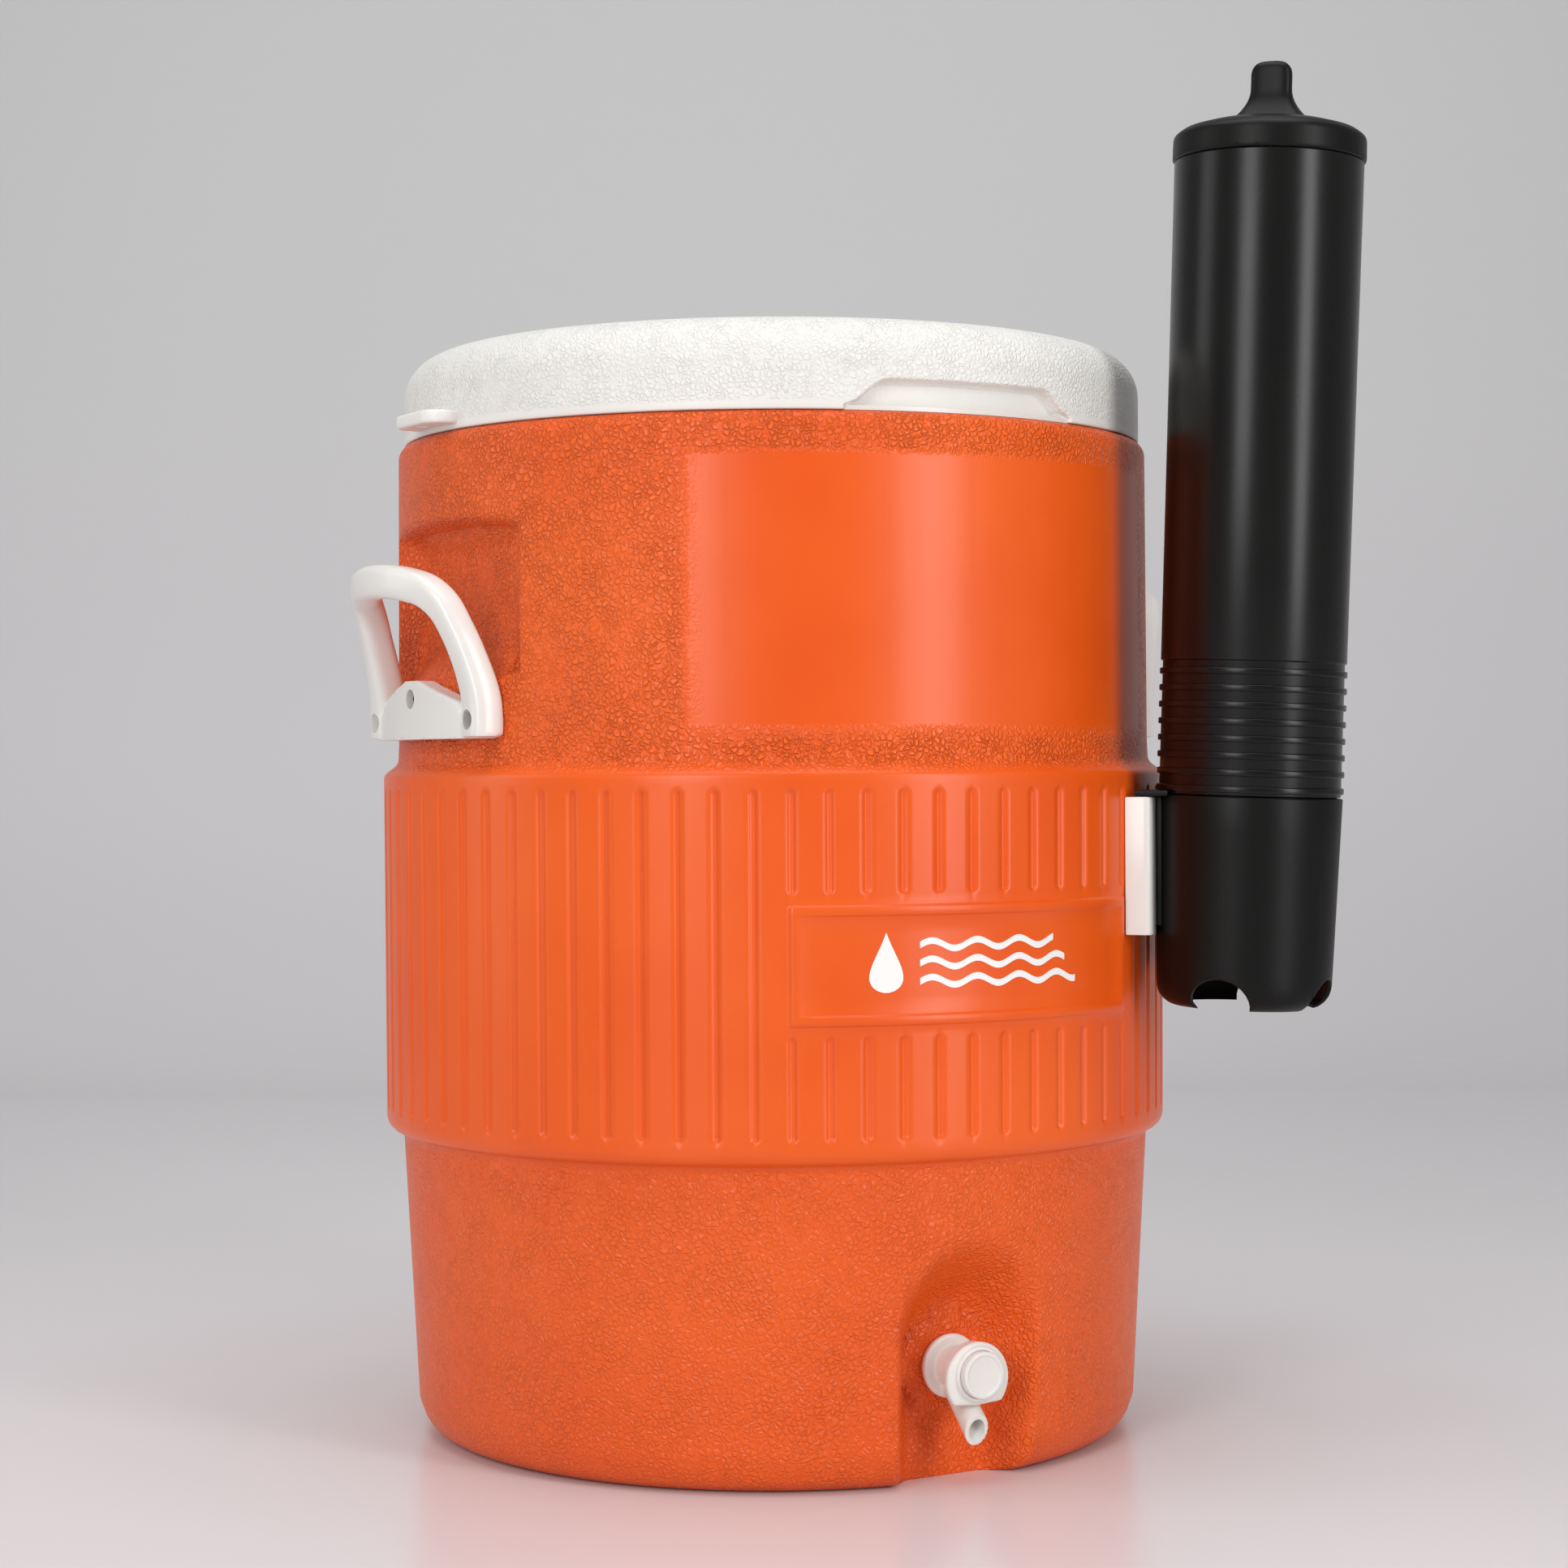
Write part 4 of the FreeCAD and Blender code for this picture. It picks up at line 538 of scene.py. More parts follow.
def fluteTree():
    # pushes the band's skin in along evenly spaced round-ended flutes
    tree, entry = nodeTree("flutes", flutes | {"Material": finish["orange"]})
    size = entry.outputs
    where = addNode(tree, "GeometryNodeInputPosition").outputs[0]
    parts = addNode(tree, "ShaderNodeSeparateXYZ", {0: where}).outputs
    forward = addNode(tree, "ShaderNodeMath", {0: parts[1], 1: -1.0}, operation="MULTIPLY")
    angle = addNode(tree, "ShaderNodeMath", {0: parts[0], 1: forward.outputs[0]}, operation="ARCTAN2")
    squares = [addNode(tree, "ShaderNodeMath", {0: part, 1: part}, operation="MULTIPLY") for part in parts[:2]]
    total = addNode(tree, "ShaderNodeMath", {0: squares[0].outputs[0], 1: squares[1].outputs[0]},
                    operation="ADD")
    radius = addNode(tree, "ShaderNodeMath", {0: total.outputs[0]}, operation="SQRT")
    pitch = addNode(tree, "ShaderNodeMath", {0: math.tau, 1: size["Count"]}, operation="DIVIDE")
    wrapped = addNode(tree, "ShaderNodeMath", {0: angle.outputs[0], 1: pitch.outputs[0], 2: 0.0},
                      operation="WRAP")
    half = addNode(tree, "ShaderNodeMath", {0: pitch.outputs[0], 1: 0.5}, operation="MULTIPLY")
    offset = addNode(tree, "ShaderNodeMath", {0: wrapped.outputs[0], 1: half.outputs[0]}, operation="SUBTRACT")
    across = addNode(tree, "ShaderNodeMath", {0: offset.outputs[0], 1: radius.outputs[0]}, operation="MULTIPLY")
    turn = addNode(tree, "ShaderNodeMath", {0: angle.outputs[0]}, operation="ABSOLUTE")
    front = addNode(tree, "ShaderNodeMath", {0: turn.outputs[0], 1: size["Gap Angle"]}, operation="LESS_THAN")
    depths = []
    for low, high in (("Low", "Gap Low"), ("Gap High", "High"), ("Low", "High")):
        ends = []
        for first, second in ((size[low], parts[2]), (parts[2], size[high])):
            gap = addNode(tree, "ShaderNodeMath", {0: first, 1: second}, operation="SUBTRACT")
            inset = addNode(tree, "ShaderNodeMath", {0: gap.outputs[0], 1: size["Half Width"]}, operation="ADD")
            ends.append(inset.outputs[0])
        beyond = addNode(tree, "ShaderNodeMath", {0: ends[0], 1: ends[1]}, operation="MAXIMUM")
        past = addNode(tree, "ShaderNodeMath", {0: beyond.outputs[0], 1: 0.0}, operation="MAXIMUM")
        pair = addNode(tree, "ShaderNodeCombineXYZ", {0: across.outputs[0], 1: past.outputs[0]})
        away = addNode(tree, "ShaderNodeVectorMath", {0: pair.outputs[0]}, operation="LENGTH")
        depth = addNode(tree, "ShaderNodeMapRange", {"Value": away.outputs["Value"],
                        "From Min": size["Half Width"], "From Max": size["Floor Half Width"],
                        "To Min": 0.0, "To Max": size["Depth"]}, interpolation_type="SMOOTHSTEP")
        depths.append(depth.outputs[0])
    split = addNode(tree, "ShaderNodeMath", {0: depths[0], 1: depths[1]}, operation="MAXIMUM")
    chosen = addNode(tree, "GeometryNodeSwitch", {0: front.outputs[0], 1: depths[2], 2: split.outputs[0]},
                     input_type="FLOAT")
    skin = addNode(tree, "ShaderNodeMath", {0: radius.outputs[0], 1: 0.2015}, operation="GREATER_THAN")
    depth = addNode(tree, "ShaderNodeMath", {0: chosen.outputs[0], 1: skin.outputs[0]}, operation="MULTIPLY")
    flat = addNode(tree, "ShaderNodeCombineXYZ", {0: parts[0], 1: parts[1]})
    outward = addNode(tree, "ShaderNodeVectorMath", {0: flat.outputs[0]}, operation="NORMALIZE")
    inward = addNode(tree, "ShaderNodeMath", {0: depth.outputs[0], 1: -1.0}, operation="MULTIPLY")
    push = addNode(tree, "ShaderNodeVectorMath", {0: outward.outputs[0], "Scale": inward.outputs[0]},
                   operation="SCALE")
    pressed = addNode(tree, "GeometryNodeSetPosition", {"Geometry": size["Geometry"],
                      "Offset": push.outputs[0]})
    closeTree(tree, pressed.outputs[0], size["Material"])
    return tree


def buildShell():
    pitch = 360 / shell["fluteCount"]
    columns = [pitch * (number + 0.5) + spot for number in range(shell["fluteCount"])
               for spot in shell["columnSpots"]]
    profile = shellProfile()
    reach, height, theta = shellSurface(profile, columns)
    count = len(columns)
    outer = np.stack((reach * np.sin(theta), -reach * np.cos(theta), height), axis=2).reshape(-1, 3)
    # inside face: the same skin one wall further in, on fewer rows
    keepRows = [row for row in range(4, len(profile) - 2) if row % 7 == 0]
    wall = shell["wall"]
    inner = []
    for row in reversed(keepRows):
        level = np.clip(profile[row][1], wall, shell["top"] - wall)
        ring = np.minimum(reach[row] - wall * 1.6, reach[row] - wall)
        inner.append(np.stack((ring * np.sin(theta[row]), -ring * np.cos(theta[row]),
                               np.full(count, level)), axis=1))
    inner.insert(0, np.stack((shell["linerHole"] * np.sin(theta[0]), -shell["linerHole"] * np.cos(theta[0]),
                              np.full(count, shell["top"] - wall)), axis=1))
    inner.append(np.zeros((count, 3)) + np.array((0, 0, wall)))
    points = np.vstack([outer] + inner)
    rows = len(profile) + len(inner)
    loops = [list(range(row * count, (row + 1) * count)) for row in range(rows)]
    loops[0] = [0] * count
    loops[-1] = [(rows - 1) * count] * count
    faces = stitch(list(zip(loops, loops[1:])), count)
    piece = makePiece("outer_shell_moulding", points, faces)
    sizes = flutes | {"Material": finish["orange"]}
    runTree(piece, fluteTree(), sizes)
    spots = pointsOf(piece)
    angle = np.degrees(np.arctan2(spots[:, 0], -spots[:, 1]))
    level = spots[:, 2]
    inBand = easeBetween(level, 150, 157) * (1 - easeBetween(level, 338, 345))
    field = (1 - easeBetween(np.abs(angle), shell["fieldAngle"] - 1.2, shell["fieldAngle"] + 1.2))
    field *= easeBetween(level, shell["fieldLow"] - 2, shell["fieldLow"] + 2)
    field *= 1 - easeBetween(level, shell["fieldHigh"] - 2, shell["fieldHigh"] + 2)
    lowerPart = 1 - 0.45 * (1 - easeBetween(level, 150, 160))
    markPoints(piece, "grain", (1 - inBand) * (1 - field) * lowerPart)
    dress(piece, "cooler", "orange_polyethylene", finish["orange"], "outer_shell")
    print("shell made:", len(piece.data.polygons), "faces")


buildShell()

# the lid shares its lowest edge and its top with the frame's lid shell
lidLow, lidHigh = nodeBox("lid_shell")
lid = {"lip": lidLow.z - 0.5, "rim": lidLow.z + 2, "radius": 191.5, "top": lidHigh.z - 1.3,
       "round": 22.0, "wall": 3.0, "edge": 0.9, "notchDepth": 7.5, "notchLow": 60.0,
       "notchHigh": 47.5, "notchHeight": 12.0, "flare": 4.0,
       "corner": 5.0, "earRoot": 186.0, "earTip": 206.0, "earHalf": 23.0, "earThick": 6.5,
       "earRound": 13.0, "holeRadius": 3.6, "holePlace": 199.0}


def notchHalf(height):
    rise = np.clip((height - lid["rim"]) / lid["notchHeight"], 0, 1)
    half = lid["notchLow"] + (lid["notchHigh"] - lid["notchLow"]) * rise
    return half + lid["flare"] * np.clip(1 - rise * 4, 0, 1) ** 2


def lidColumns(height):
    # angles from the tap round the lid; a few columns follow the notch's slanted sides
    half = np.degrees(np.arcsin(notchHalf(height) / lid["radius"]))
    inside = [0, 0.12, 0.25, 0.38, 0.5, 0.62, 0.74, 0.83, 0.89, 0.93, 0.955, 0.975, 1.0]
    beyond = [0.004, 0.009, 0.016, 0.03, 0.05] + list(np.linspace(0.08, 1, 34))
    quarter = [share * half for share in inside] + [half + share * (90 - half) for share in beyond]
    front = quarter + [180 - angle for angle in reversed(quarter[1:-1])]
    return np.array(front + [180 + angle for angle in front])


def notchInset(height, degrees):
    side = np.abs((degrees + 90) % 180 - 90)
    across = notchHalf(height) - lid["radius"] * np.sin(np.radians(side))
    above = lid["rim"] + lid["notchHeight"] - height
    return lid["notchDepth"] * easeBetween(softMin(across, above * np.ones_like(across), lid["corner"]),
                                           -0.5, 1.5)


def buildLid():
    rim, radius, top, curve = lid["rim"], lid["radius"], lid["top"], lid["round"]
    edge = lid["edge"]
    outer = [(radius - 1.5, lid["lip"])]
    outer += [(radius - edge * (1 - math.sin(a)), lid["lip"] + edge * (1 - math.cos(a)))
              for a in np.linspace(0, math.pi / 2, 4)]
    lifts = (0, 1.2, 2.5, 4, 6, 8, 9.3, 10.2, 10.8, 11.3, 11.8, 12.3, 12.9, 13.6, 15, 17, 20)
    outer += [(radius, rim + lift) for lift in lifts]
    outer += [(radius - curve * (1 - math.cos(a)), top - curve * (1 - math.sin(a)))
              for a in np.linspace(0, math.pi / 2, 15)]
    outer += [(150, top), (110, top), (60, top), (0, top)]
    skin = radius - lid["wall"]
    small = curve - lid["wall"]
    inner = [(0, top - lid["wall"]), (80, top - lid["wall"]), (140, top - lid["wall"])]
    inner += [(skin - small * (1 - math.cos(a)), top - lid["wall"] - small * (1 - math.sin(a)))
              for a in np.linspace(math.pi / 2, 0, 7)]
    inner += [(skin, rim + lift) for lift in (18, 16, 14.5, 12, 8, 4)]
    rows = outer + inner
    points = []
    for reach, height in rows:
        degrees = lidColumns(height)
        ring = reach - notchInset(height, degrees) if reach > 150 else reach + 0 * degrees
        angle = np.radians(degrees)
        drop = max(rim + 2 - height, 0) / 2 * notchInset(rim + 1, degrees) / lid["notchDepth"]
        points.append(np.stack((ring * np.sin(angle), -ring * np.cos(angle), height + drop), axis=1))
    count = len(points[0])
    loops = [list(range(row * count, (row + 1) * count)) for row in range(len(rows))]
    for row in (len(outer) - 1, len(outer)):
        loops[row] = [row * count] * count
    pairs = [pair for pair in zip(loops, loops[1:] + loops[:1]) if pair[0] is not loops[len(outer) - 1]]
    piece = makePiece("lid_moulding", np.vstack(points), stitch(pairs, count))
    spots = pointsOf(piece)
    degrees = np.degrees(np.arctan2(spots[:, 0], -spots[:, 1]))
    inset = np.array([notchInset(h, np.array([d]))[0] for h, d in zip(spots[:, 2], degrees)])
    low = easeBetween(spots[:, 2], rim + 1, rim + 3)
    markPoints(piece, "grain", low * (1 - np.clip(inset / lid["notchDepth"] * 1.6, 0, 0.9)))
    dress(piece, "lid", "white_polyethylene", finish["white"], "lid_shell")
    for side, turn in (("left", math.pi), ("right", 0.0)):
        half, curve = lid["earHalf"], lid["earRound"]
        corners = [(lid["earRoot"], -half, 0), (lid["earTip"], -half, curve), (lid["earTip"], half, curve),
                   (lid["earRoot"], half, 0)]
        shape = prism(roundCorners(corners, 8), rim, rim + lid["earThick"], 1.6, 4)
        ear = makePiece(side + "_lid_ear", moved(shape[0], Matrix.Rotation(turn, 4, "Z")), shape[1])
        hole = turned([(0, rim - 5), (lid["holeRadius"], rim - 5), (lid["holeRadius"], rim + 20),
                       (0, rim + 20)], 32)
        place = Matrix.Rotation(turn, 4, "Z") @ Matrix.Translation((lid["holePlace"], 0, 0))
        carve(ear, (moved(hole[0], place), hole[1]))
        markPoints(ear, "grain", [0.25] * len(ear.data.vertices))
        dress(ear, "lid", "white_polyethylene", finish["white"])
    print("lid made:", len(piece.data.polygons), "faces")


def carve(piece, *shapes):
    cutters = []
    for shape in shapes:
        cutter = makePiece("cutter", *shape)
        cutters.append(cutter)
        step = piece.modifiers.new("carve", "BOOLEAN")
        step.operation, step.solver, step.object = "DIFFERENCE", "EXACT", cutter
    settle(piece)
    for cutter in cutters:
        bpy.data.meshes.remove(cutter.data)
    smooth = [True] * len(piece.data.polygons)
    piece.data.polygons.foreach_set("use_smooth", smooth)
    piece.data.set_sharp_from_angle(angle=math.radians(40))
    return piece


buildLid()

# stations of a handle's bar: sideways, outward, height, width and depth
handle = {"inner": 195.9, "outer": 206.2, "half": 64.0, "low": 356.0, "corner": 5.0, "footLow": 374.0,
          "footHalf": 46.0, "peak": 385.0, "peakHalf": 8.0, "armTop": 366.0, "voxel": 1.0, "passes": 6,
          "boreRadius": 4.9, "boreFloor": 201.8, "sectionPower": 3.2,
          "stations": [(-56.8, 192.8, 357, 19.4, 17.4), (-56.8, 193.4, 374, 19, 17), (-54.2, 197.6, 392, 17, 15.6),
                       (-50.2, 203.0, 408, 15.8, 15), (-45.2, 208.0, 420, 15.6, 15.2),
                       (-38, 213.0, 427, 15.8, 15.2), (-28, 217.6, 430.4, 16.4, 15.2),
                       (-14, 221.9, 432.6, 16.6, 15.2), (0, 223.2, 433.2, 16.6, 15.2)]}
screws = {"Head Radius": 4.35 * mm, "Head Height": 2.4 * mm, "Slot Length": 5.2 * mm,
          "Slot Width": 1.1 * mm, "Slot Depth": 1.3 * mm}
screwSpots = [(-15.8, 365.0), (0.0, 376.0), (15.8, 365.0)]


def sweep(stations, section):
    # section(width, depth) gives the loop of (side, outward) offsets
    points = []
    spots = stations[:, :3]
    along = np.gradient(spots, axis=0)
    for spot, way, (width, depth) in zip(spots, along, stations[:, 3:5]):
        way = way / np.linalg.norm(way)
        outward = np.array((1.0, 0, 0)) - way * way[0]
        outward /= np.linalg.norm(outward)
        side = np.cross(way, outward)
        for offset, lift in section(width, depth):
            points.append(spot + side * offset + outward * lift)
    count = len(points) // len(stations)
    loops = [list(range(row * count, (row + 1) * count)) for row in range(len(stations))]
    faces = stitch(list(zip(loops, loops[1:])), count)
    return np.array(points), faces + [tuple(reversed(loops[0])), tuple(loops[-1])]


def barSection(width, depth):
    power = 2 / handle["sectionPower"]
    loop = []
    for step in range(28):
        angle = 2 * math.pi * step / 28
        c, s = math.cos(angle), math.sin(angle)
        loop.append((math.copysign(abs(c) ** power, c) * width / 2,
                     math.copysign(abs(s) ** power, s) * depth / 2))
    return loop


def handlePlate():
    h = handle
    spots = np.linspace(-h["half"], h["half"], 89)
    points = []
    for spot in spots:
        far = max(abs(spot) - (h["half"] - h["corner"]), 0)
        low = h["low"] + h["corner"] - math.sqrt(max(h["corner"] ** 2 - far ** 2, 0))
        high = np.interp(abs(spot), (0, h["peakHalf"], h["footHalf"], h["footHalf"] + 3, h["half"]),
                         (h["peak"], h["peak"], h["footLow"], h["armTop"], h["armTop"]))
        for radius, level in ((h["inner"], low), (h["outer"], low), (h["outer"], high), (h["inner"], high)):
            points.append((math.sqrt(radius ** 2 - spot ** 2), spot, level))
    loops = [list(range(row * 4, row * 4 + 4)) for row in range(len(spots))]
    faces = stitch(list(zip(loops, loops[1:])), 4)
    return np.array(points), faces + [tuple(reversed(loops[0])), tuple(loops[-1])]


def screwTree():
    # a button-head screw with a cross recess at every point, facing along its "facing" vector
    tree, entry = nodeTree("screws", screws | {"Material": finish["steel"]})
    size = entry.outputs
    ball = addNode(tree, "GeometryNodeMeshUVSphere", {"Segments": 36, "Rings": 18,
                   "Radius": size["Head Radius"]})
    flat = addNode(tree, "ShaderNodeMath", {0: size["Head Height"], 1: size["Head Radius"]},
                   operation="DIVIDE")
    press = addNode(tree, "ShaderNodeCombineXYZ", {0: 1.0, 1: 1.0, 2: flat.outputs[0]})
    dome = addNode(tree, "GeometryNodeTransform", {"Geometry": ball.outputs["Mesh"],
                   "Scale": press.outputs[0]})
    tall = addNode(tree, "ShaderNodeMath", {0: size["Slot Depth"], 1: 2.0}, operation="MULTIPLY")
    lift = addNode(tree, "ShaderNodeCombineXYZ", {2: size["Head Height"]})
    slots = addNode(tree, "GeometryNodeJoinGeometry")
    for first, second in (("Slot Length", "Slot Width"), ("Slot Width", "Slot Length")):
        measure = addNode(tree, "ShaderNodeCombineXYZ", {0: size[first], 1: size[second],
                          2: tall.outputs[0]})
        bar = addNode(tree, "GeometryNodeMeshCube", {"Size": measure.outputs[0]})
        place = addNode(tree, "GeometryNodeTransform", {"Geometry": bar.outputs["Mesh"],
                        "Translation": lift.outputs[0]})
        tree.links.new(place.outputs[0], slots.inputs[0])
    head = addNode(tree, "GeometryNodeMeshBoolean", {"Mesh 1": dome.outputs[0], "Mesh 2": slots.outputs[0],
                   "Self Intersection": True}, operation="DIFFERENCE", solver="EXACT")
    facing = addNode(tree, "GeometryNodeInputNamedAttribute", {"Name": "facing"}, data_type="FLOAT_VECTOR")
    turn = addNode(tree, "FunctionNodeAlignRotationToVector", {"Vector": facing.outputs[0]}, axis="Z")
    spots = addNode(tree, "GeometryNodeMeshToPoints", {"Mesh": size["Geometry"]})
    placed = addNode(tree, "GeometryNodeInstanceOnPoints", {"Points": spots.outputs[0],
                     "Instance": head.outputs["Mesh"], "Rotation": turn.outputs[0]})
    closeTree(tree, placed.outputs[0], size["Material"])
    return tree


def buildHandles():
    ends = np.array(handle["stations"], float)
    mirror = ends[:-1][::-1] * np.array((-1, 1, 1, 1, 1))
    stations = np.vstack((ends, mirror))[:, [1, 0, 2, 3, 4]]  # outward, sideways, height
    loop = sweep(throughPoints(stations, 90), barSection)
    form = fuseSoft("handle_form", joinShapes(handlePlate(), loop), handle["voxel"], handle["passes"])
    bores = []
    for angle, height in screwSpots:
        place = (Matrix.Rotation(math.radians(angle), 4, "Z") @ Matrix.Translation((0, 0, height))
                 @ Matrix.Rotation(math.pi / 2, 4, "Y"))
        bore = turned([(0, handle["boreFloor"]), (handle["boreRadius"], handle["boreFloor"]),
                       (handle["boreRadius"], 220), (0, 220)], 40)
        bores.append((moved(bore[0], place), bore[1]))
    carve(form, *bores)
    tree = screwTree()
    for side, turn in (("left", math.pi), ("right", 0.0)):
        spin = Matrix.Rotation(turn, 4, "Z")
        piece = bpy.data.objects.new(side + "_handle_moulding", form.data.copy())
        bpy.context.scene.collection.objects.link(piece)
        piece.data.transform(spin)
        dress(piece, "cooler", "white_gloss", finish["gloss"], side + "_handle")
        spots, ways = [], []
        for angle, height in screwSpots:
            way = spin @ Matrix.Rotation(math.radians(angle), 4, "Z") @ Vector((1, 0, 0))
            spots.append(tuple(way * (handle["boreFloor"] - 0.2) + Vector((0, 0, height))))
            ways += list(way)
        heads = makePiece(side + "_handle_screw_heads", spots, [])
        layer = heads.data.attributes.new("facing", "FLOAT_VECTOR", "POINT")
        layer.data.foreach_set("vector", ways)
        runTree(heads, tree, screws | {"Material": finish["steel"]})
        heads.data.set_sharp_from_angle(angle=math.radians(35))
        dress(heads, "cooler", "steel", finish["steel"], side + "_handle_screws")
    bpy.data.meshes.remove(form.data)
    print("handles made")


buildHandles()

# the tap is turned round a level axis, so its first numbers are distances from the cooler's middle
tap = {"height": 54.0, "root": 163.5, "begin": 11.5, "slope": 45.0, "mouth": 190.5, "mouthTilt": 11.4,
       "spoutRadius": 6.5, "spoutBore": 4.5, "guardRadius": 17.5, "guardDrop": 2.5, "guardFlat": 15.0,
       "guardBack": 188.4, "guardFront": 192.3, "bore": 11.45, "voxel": 0.5, "passes": 3}
tapPlace = Matrix.Translation((0, 0, tap["height"])) @ Matrix.Rotation(math.pi / 2, 4, "X")


def tapTurned(corners, segments=96):
    points, faces = turned(roundCorners(corners, 4), segments)
    return moved(points, tapPlace), faces


def spoutRod(radius, begin, beyond, slanted):
    slope = math.radians(tap["slope"])
    along = Vector((0, -math.cos(slope), -math.sin(slope)))
    side = along.cross(Vector((1, 0, 0)))
    start = Vector((0, -tap["root"], tap["height"]))
    length = (tap["mouth"] - tap["root"]) / math.cos(slope)
    mouth = start + along * length
    tilt = math.radians(tap["mouthTilt"])
    facing = Vector((0, -math.cos(tilt), -math.sin(tilt)))
    rows, count = [], 48
    for distance in np.linspace(begin, length + beyond, 9):
        row = []
        for step in range(count):
            angle = 2 * math.pi * step / count
            offset = (Vector((1, 0, 0)) * math.cos(angle) + side * math.sin(angle)) * radius
            reach = distance
            if slanted and distance > length - 0.01:
                reach = (mouth - start - offset).dot(facing) / along.dot(facing)
            row.append(tuple(start + offset + along * min(reach, distance + 20)))
        rows.append(row)
    loops = [list(range(row * count, (row + 1) * count)) for row in range(len(rows))]
    faces = stitch(list(zip(loops, loops[1:])), count) + [tuple(reversed(loops[0])), tuple(loops[-1])]
    return np.array([spot for row in rows for spot in row]), faces


def buildTap():
    casting = tapTurned([(0, 141, 0), (9.5, 141, 0.5), (9.5, 166.5, 0.1), (15.5, 166.5, 0.6),
                         (15.5, 169.5, 1.3), (10, 169.5, 0.8), (10, 184.5, 0.3), (13, 184.5, 0.4),
                         (13, 187, 0.3), (0, 187, 0)])
    spout = spoutRod(tap["spoutRadius"], tap["begin"] - 4, 0, True)
    body = fuseSoft("tap_casting", joinShapes(casting, spout), tap["voxel"], tap["passes"])
    waterway = tapTurned([(0, 140, 0), (7.5, 140, 0), (7.5, 160, 0), (4.5, 160, 0), (4.5, 163, 0),
                          (7, 163, 0), (7, 177, 0), (2.6, 177, 0), (2.6, 179, 0), (7, 179, 0),
                          (7, 189, 0), (0, 189, 0)], 64)
    carve(body, waterway, spoutRod(tap["spoutBore"], tap["begin"] - 4, 12, False))
    dress(body, "cooler", "white_gloss", finish["tap"], "tap_body")

    drop, flat, radius = tap["guardDrop"], tap["guardFlat"], tap["guardRadius"]
    start = math.degrees(math.asin((flat - drop) / radius))
    outline = arcPoints(0, -drop, radius, -start, 180 + start, 60)
    corners = [(outline[-1][0], outline[-1][1], 0), (0, -flat - 0.001, 0), (outline[0][0], outline[0][1], 0)]
    rounded = [spot for spot in outline if spot[1] > -flat + 0.8] + [tuple(corners[1][:2])]
    guard = prism(rounded, tap["guardBack"], tap["guardFront"], 1.4, 4)
    guard = (moved(guard[0], tapPlace), guard[1])
    ring = tapTurned([(0, 184.5, 0), (14.6, 184.5, 0.8), (14.6, 189, 0.2), (13.25, 189, 0.2),
                      (13.25, 194.1, 0.8), (0, 194.1, 0)])
    bonnet = fuseSoft("tap_guard", joinShapes(guard, ring), tap["voxel"], tap["passes"])
    bore = tapTurned([(0, 183, 0), (13.02, 183, 0), (13.02, 187, 0), (tap["bore"], 187, 0),
                      (tap["bore"], 197, 0), (0, 197, 0)])
    carve(bonnet, bore, spoutRod(tap["spoutRadius"] + 0.3, tap["begin"] - 4, 4, False))
    dress(bonnet, "cooler", "white_gloss", finish["tap"], "tap_bonnet")

    button = tapTurned([(2.5, 191.9, 0.2), (4, 191.9, 0.3), (4, 195.8, 0.3), (9.45, 195.8, 0.3),
                        (9.45, 191.9, 0.2), (11.25, 191.9, 0.3), (11.25, 197.6, 1.1), (9.3, 197.6, 0.5),
                        (8.9, 197.1, 0.3), (0, 196.9, 0), (0, 195.2, 0), (2.5, 195.2, 0)])
    piece = makePiece("tap_push_button", *button)
    piece.data.set_sharp_from_angle(angle=math.radians(50))
    dress(piece, "button", "white_gloss", finish["tap"], "tap_button")
    print("tap made")


buildTap()

# the cup dispenser leans a little; its bracket stands upright
dispenser = {"turn": -52.0, "reach": 250.906, "foot": 222.0, "tilt": 2.085}
sleeve = {"length": 104.0, "wall": 2.0, "gap": 16.0, "gapDrop": 0.5, "gaps": 4, "gapTurn": -3.6,
          "edge": 0.8, "wallArc": 43.9,
          "radii": [(0, 35.0), (1, 37.2), (2, 38.7), (3, 39.8), (5, 41.4), (7, 42.3), (9, 42.8),
                    (12, 43.1), (20, 43.4), (104, 45.6)]}
tube = {"start": 78.0, "endRadius": 42.7, "step": 104.6, "neckRadius": 44.6, "bodyLow": 171.0,
        "lowRadius": 45.6, "top": 416.2, "topRadius": 46.4, "wall": 1.8}
ribs = {"Count": 8.0, "Pitch": 8.2 * mm, "First": 107.6 * mm, "Ring Radius": 44.75 * mm, "Rib Depth": 2.4 * mm,
        "Rib Height": 3.2 * mm, "Rib Edge": 0.7 * mm}
cap = {"low": 416.5, "radius": 47.5, "skirt": 44.1, "skirtLow": 404.5, "voxel": 1.05, "passes": 4,
       "tabWide": 10.2, "tabDeep": 4.7, "tabTop": 467.0, "flareLow": 433.0, "flareHigh": 453.0, "flare": 15.0}
bracket = {"low": 258.0, "high": 326.0, "half": 34.5, "front": 213.7, "back": 203.5, "corner": 4.0,
           "slotBack": 206.8, "slotFront": 211.2, "slotHalf": 31.0, "mouth": 25.0, "floor": 262.0}
bracketPlace = Matrix.Rotation(math.radians(dispenser["turn"]), 4, "Z")
dispenserPlace = (bracketPlace @ Matrix.Translation((dispenser["reach"], 0, dispenser["foot"]))
                  @ Matrix.Rotation(math.radians(dispenser["tilt"]), 4, "Y"))


def block(low, high, corner=1.0, edge=0.6):
    outline = roundCorners([((low[0] + high[0]) / 2, low[1], 0), (high[0], low[1], corner),
                            (high[0], high[1], corner), (low[0], high[1], corner), (low[0], low[1], corner),
                            ((low[0] + high[0]) / 2 - 0.01, low[1], 0)], 4)
    return prism(outline, low[2], high[2], edge)


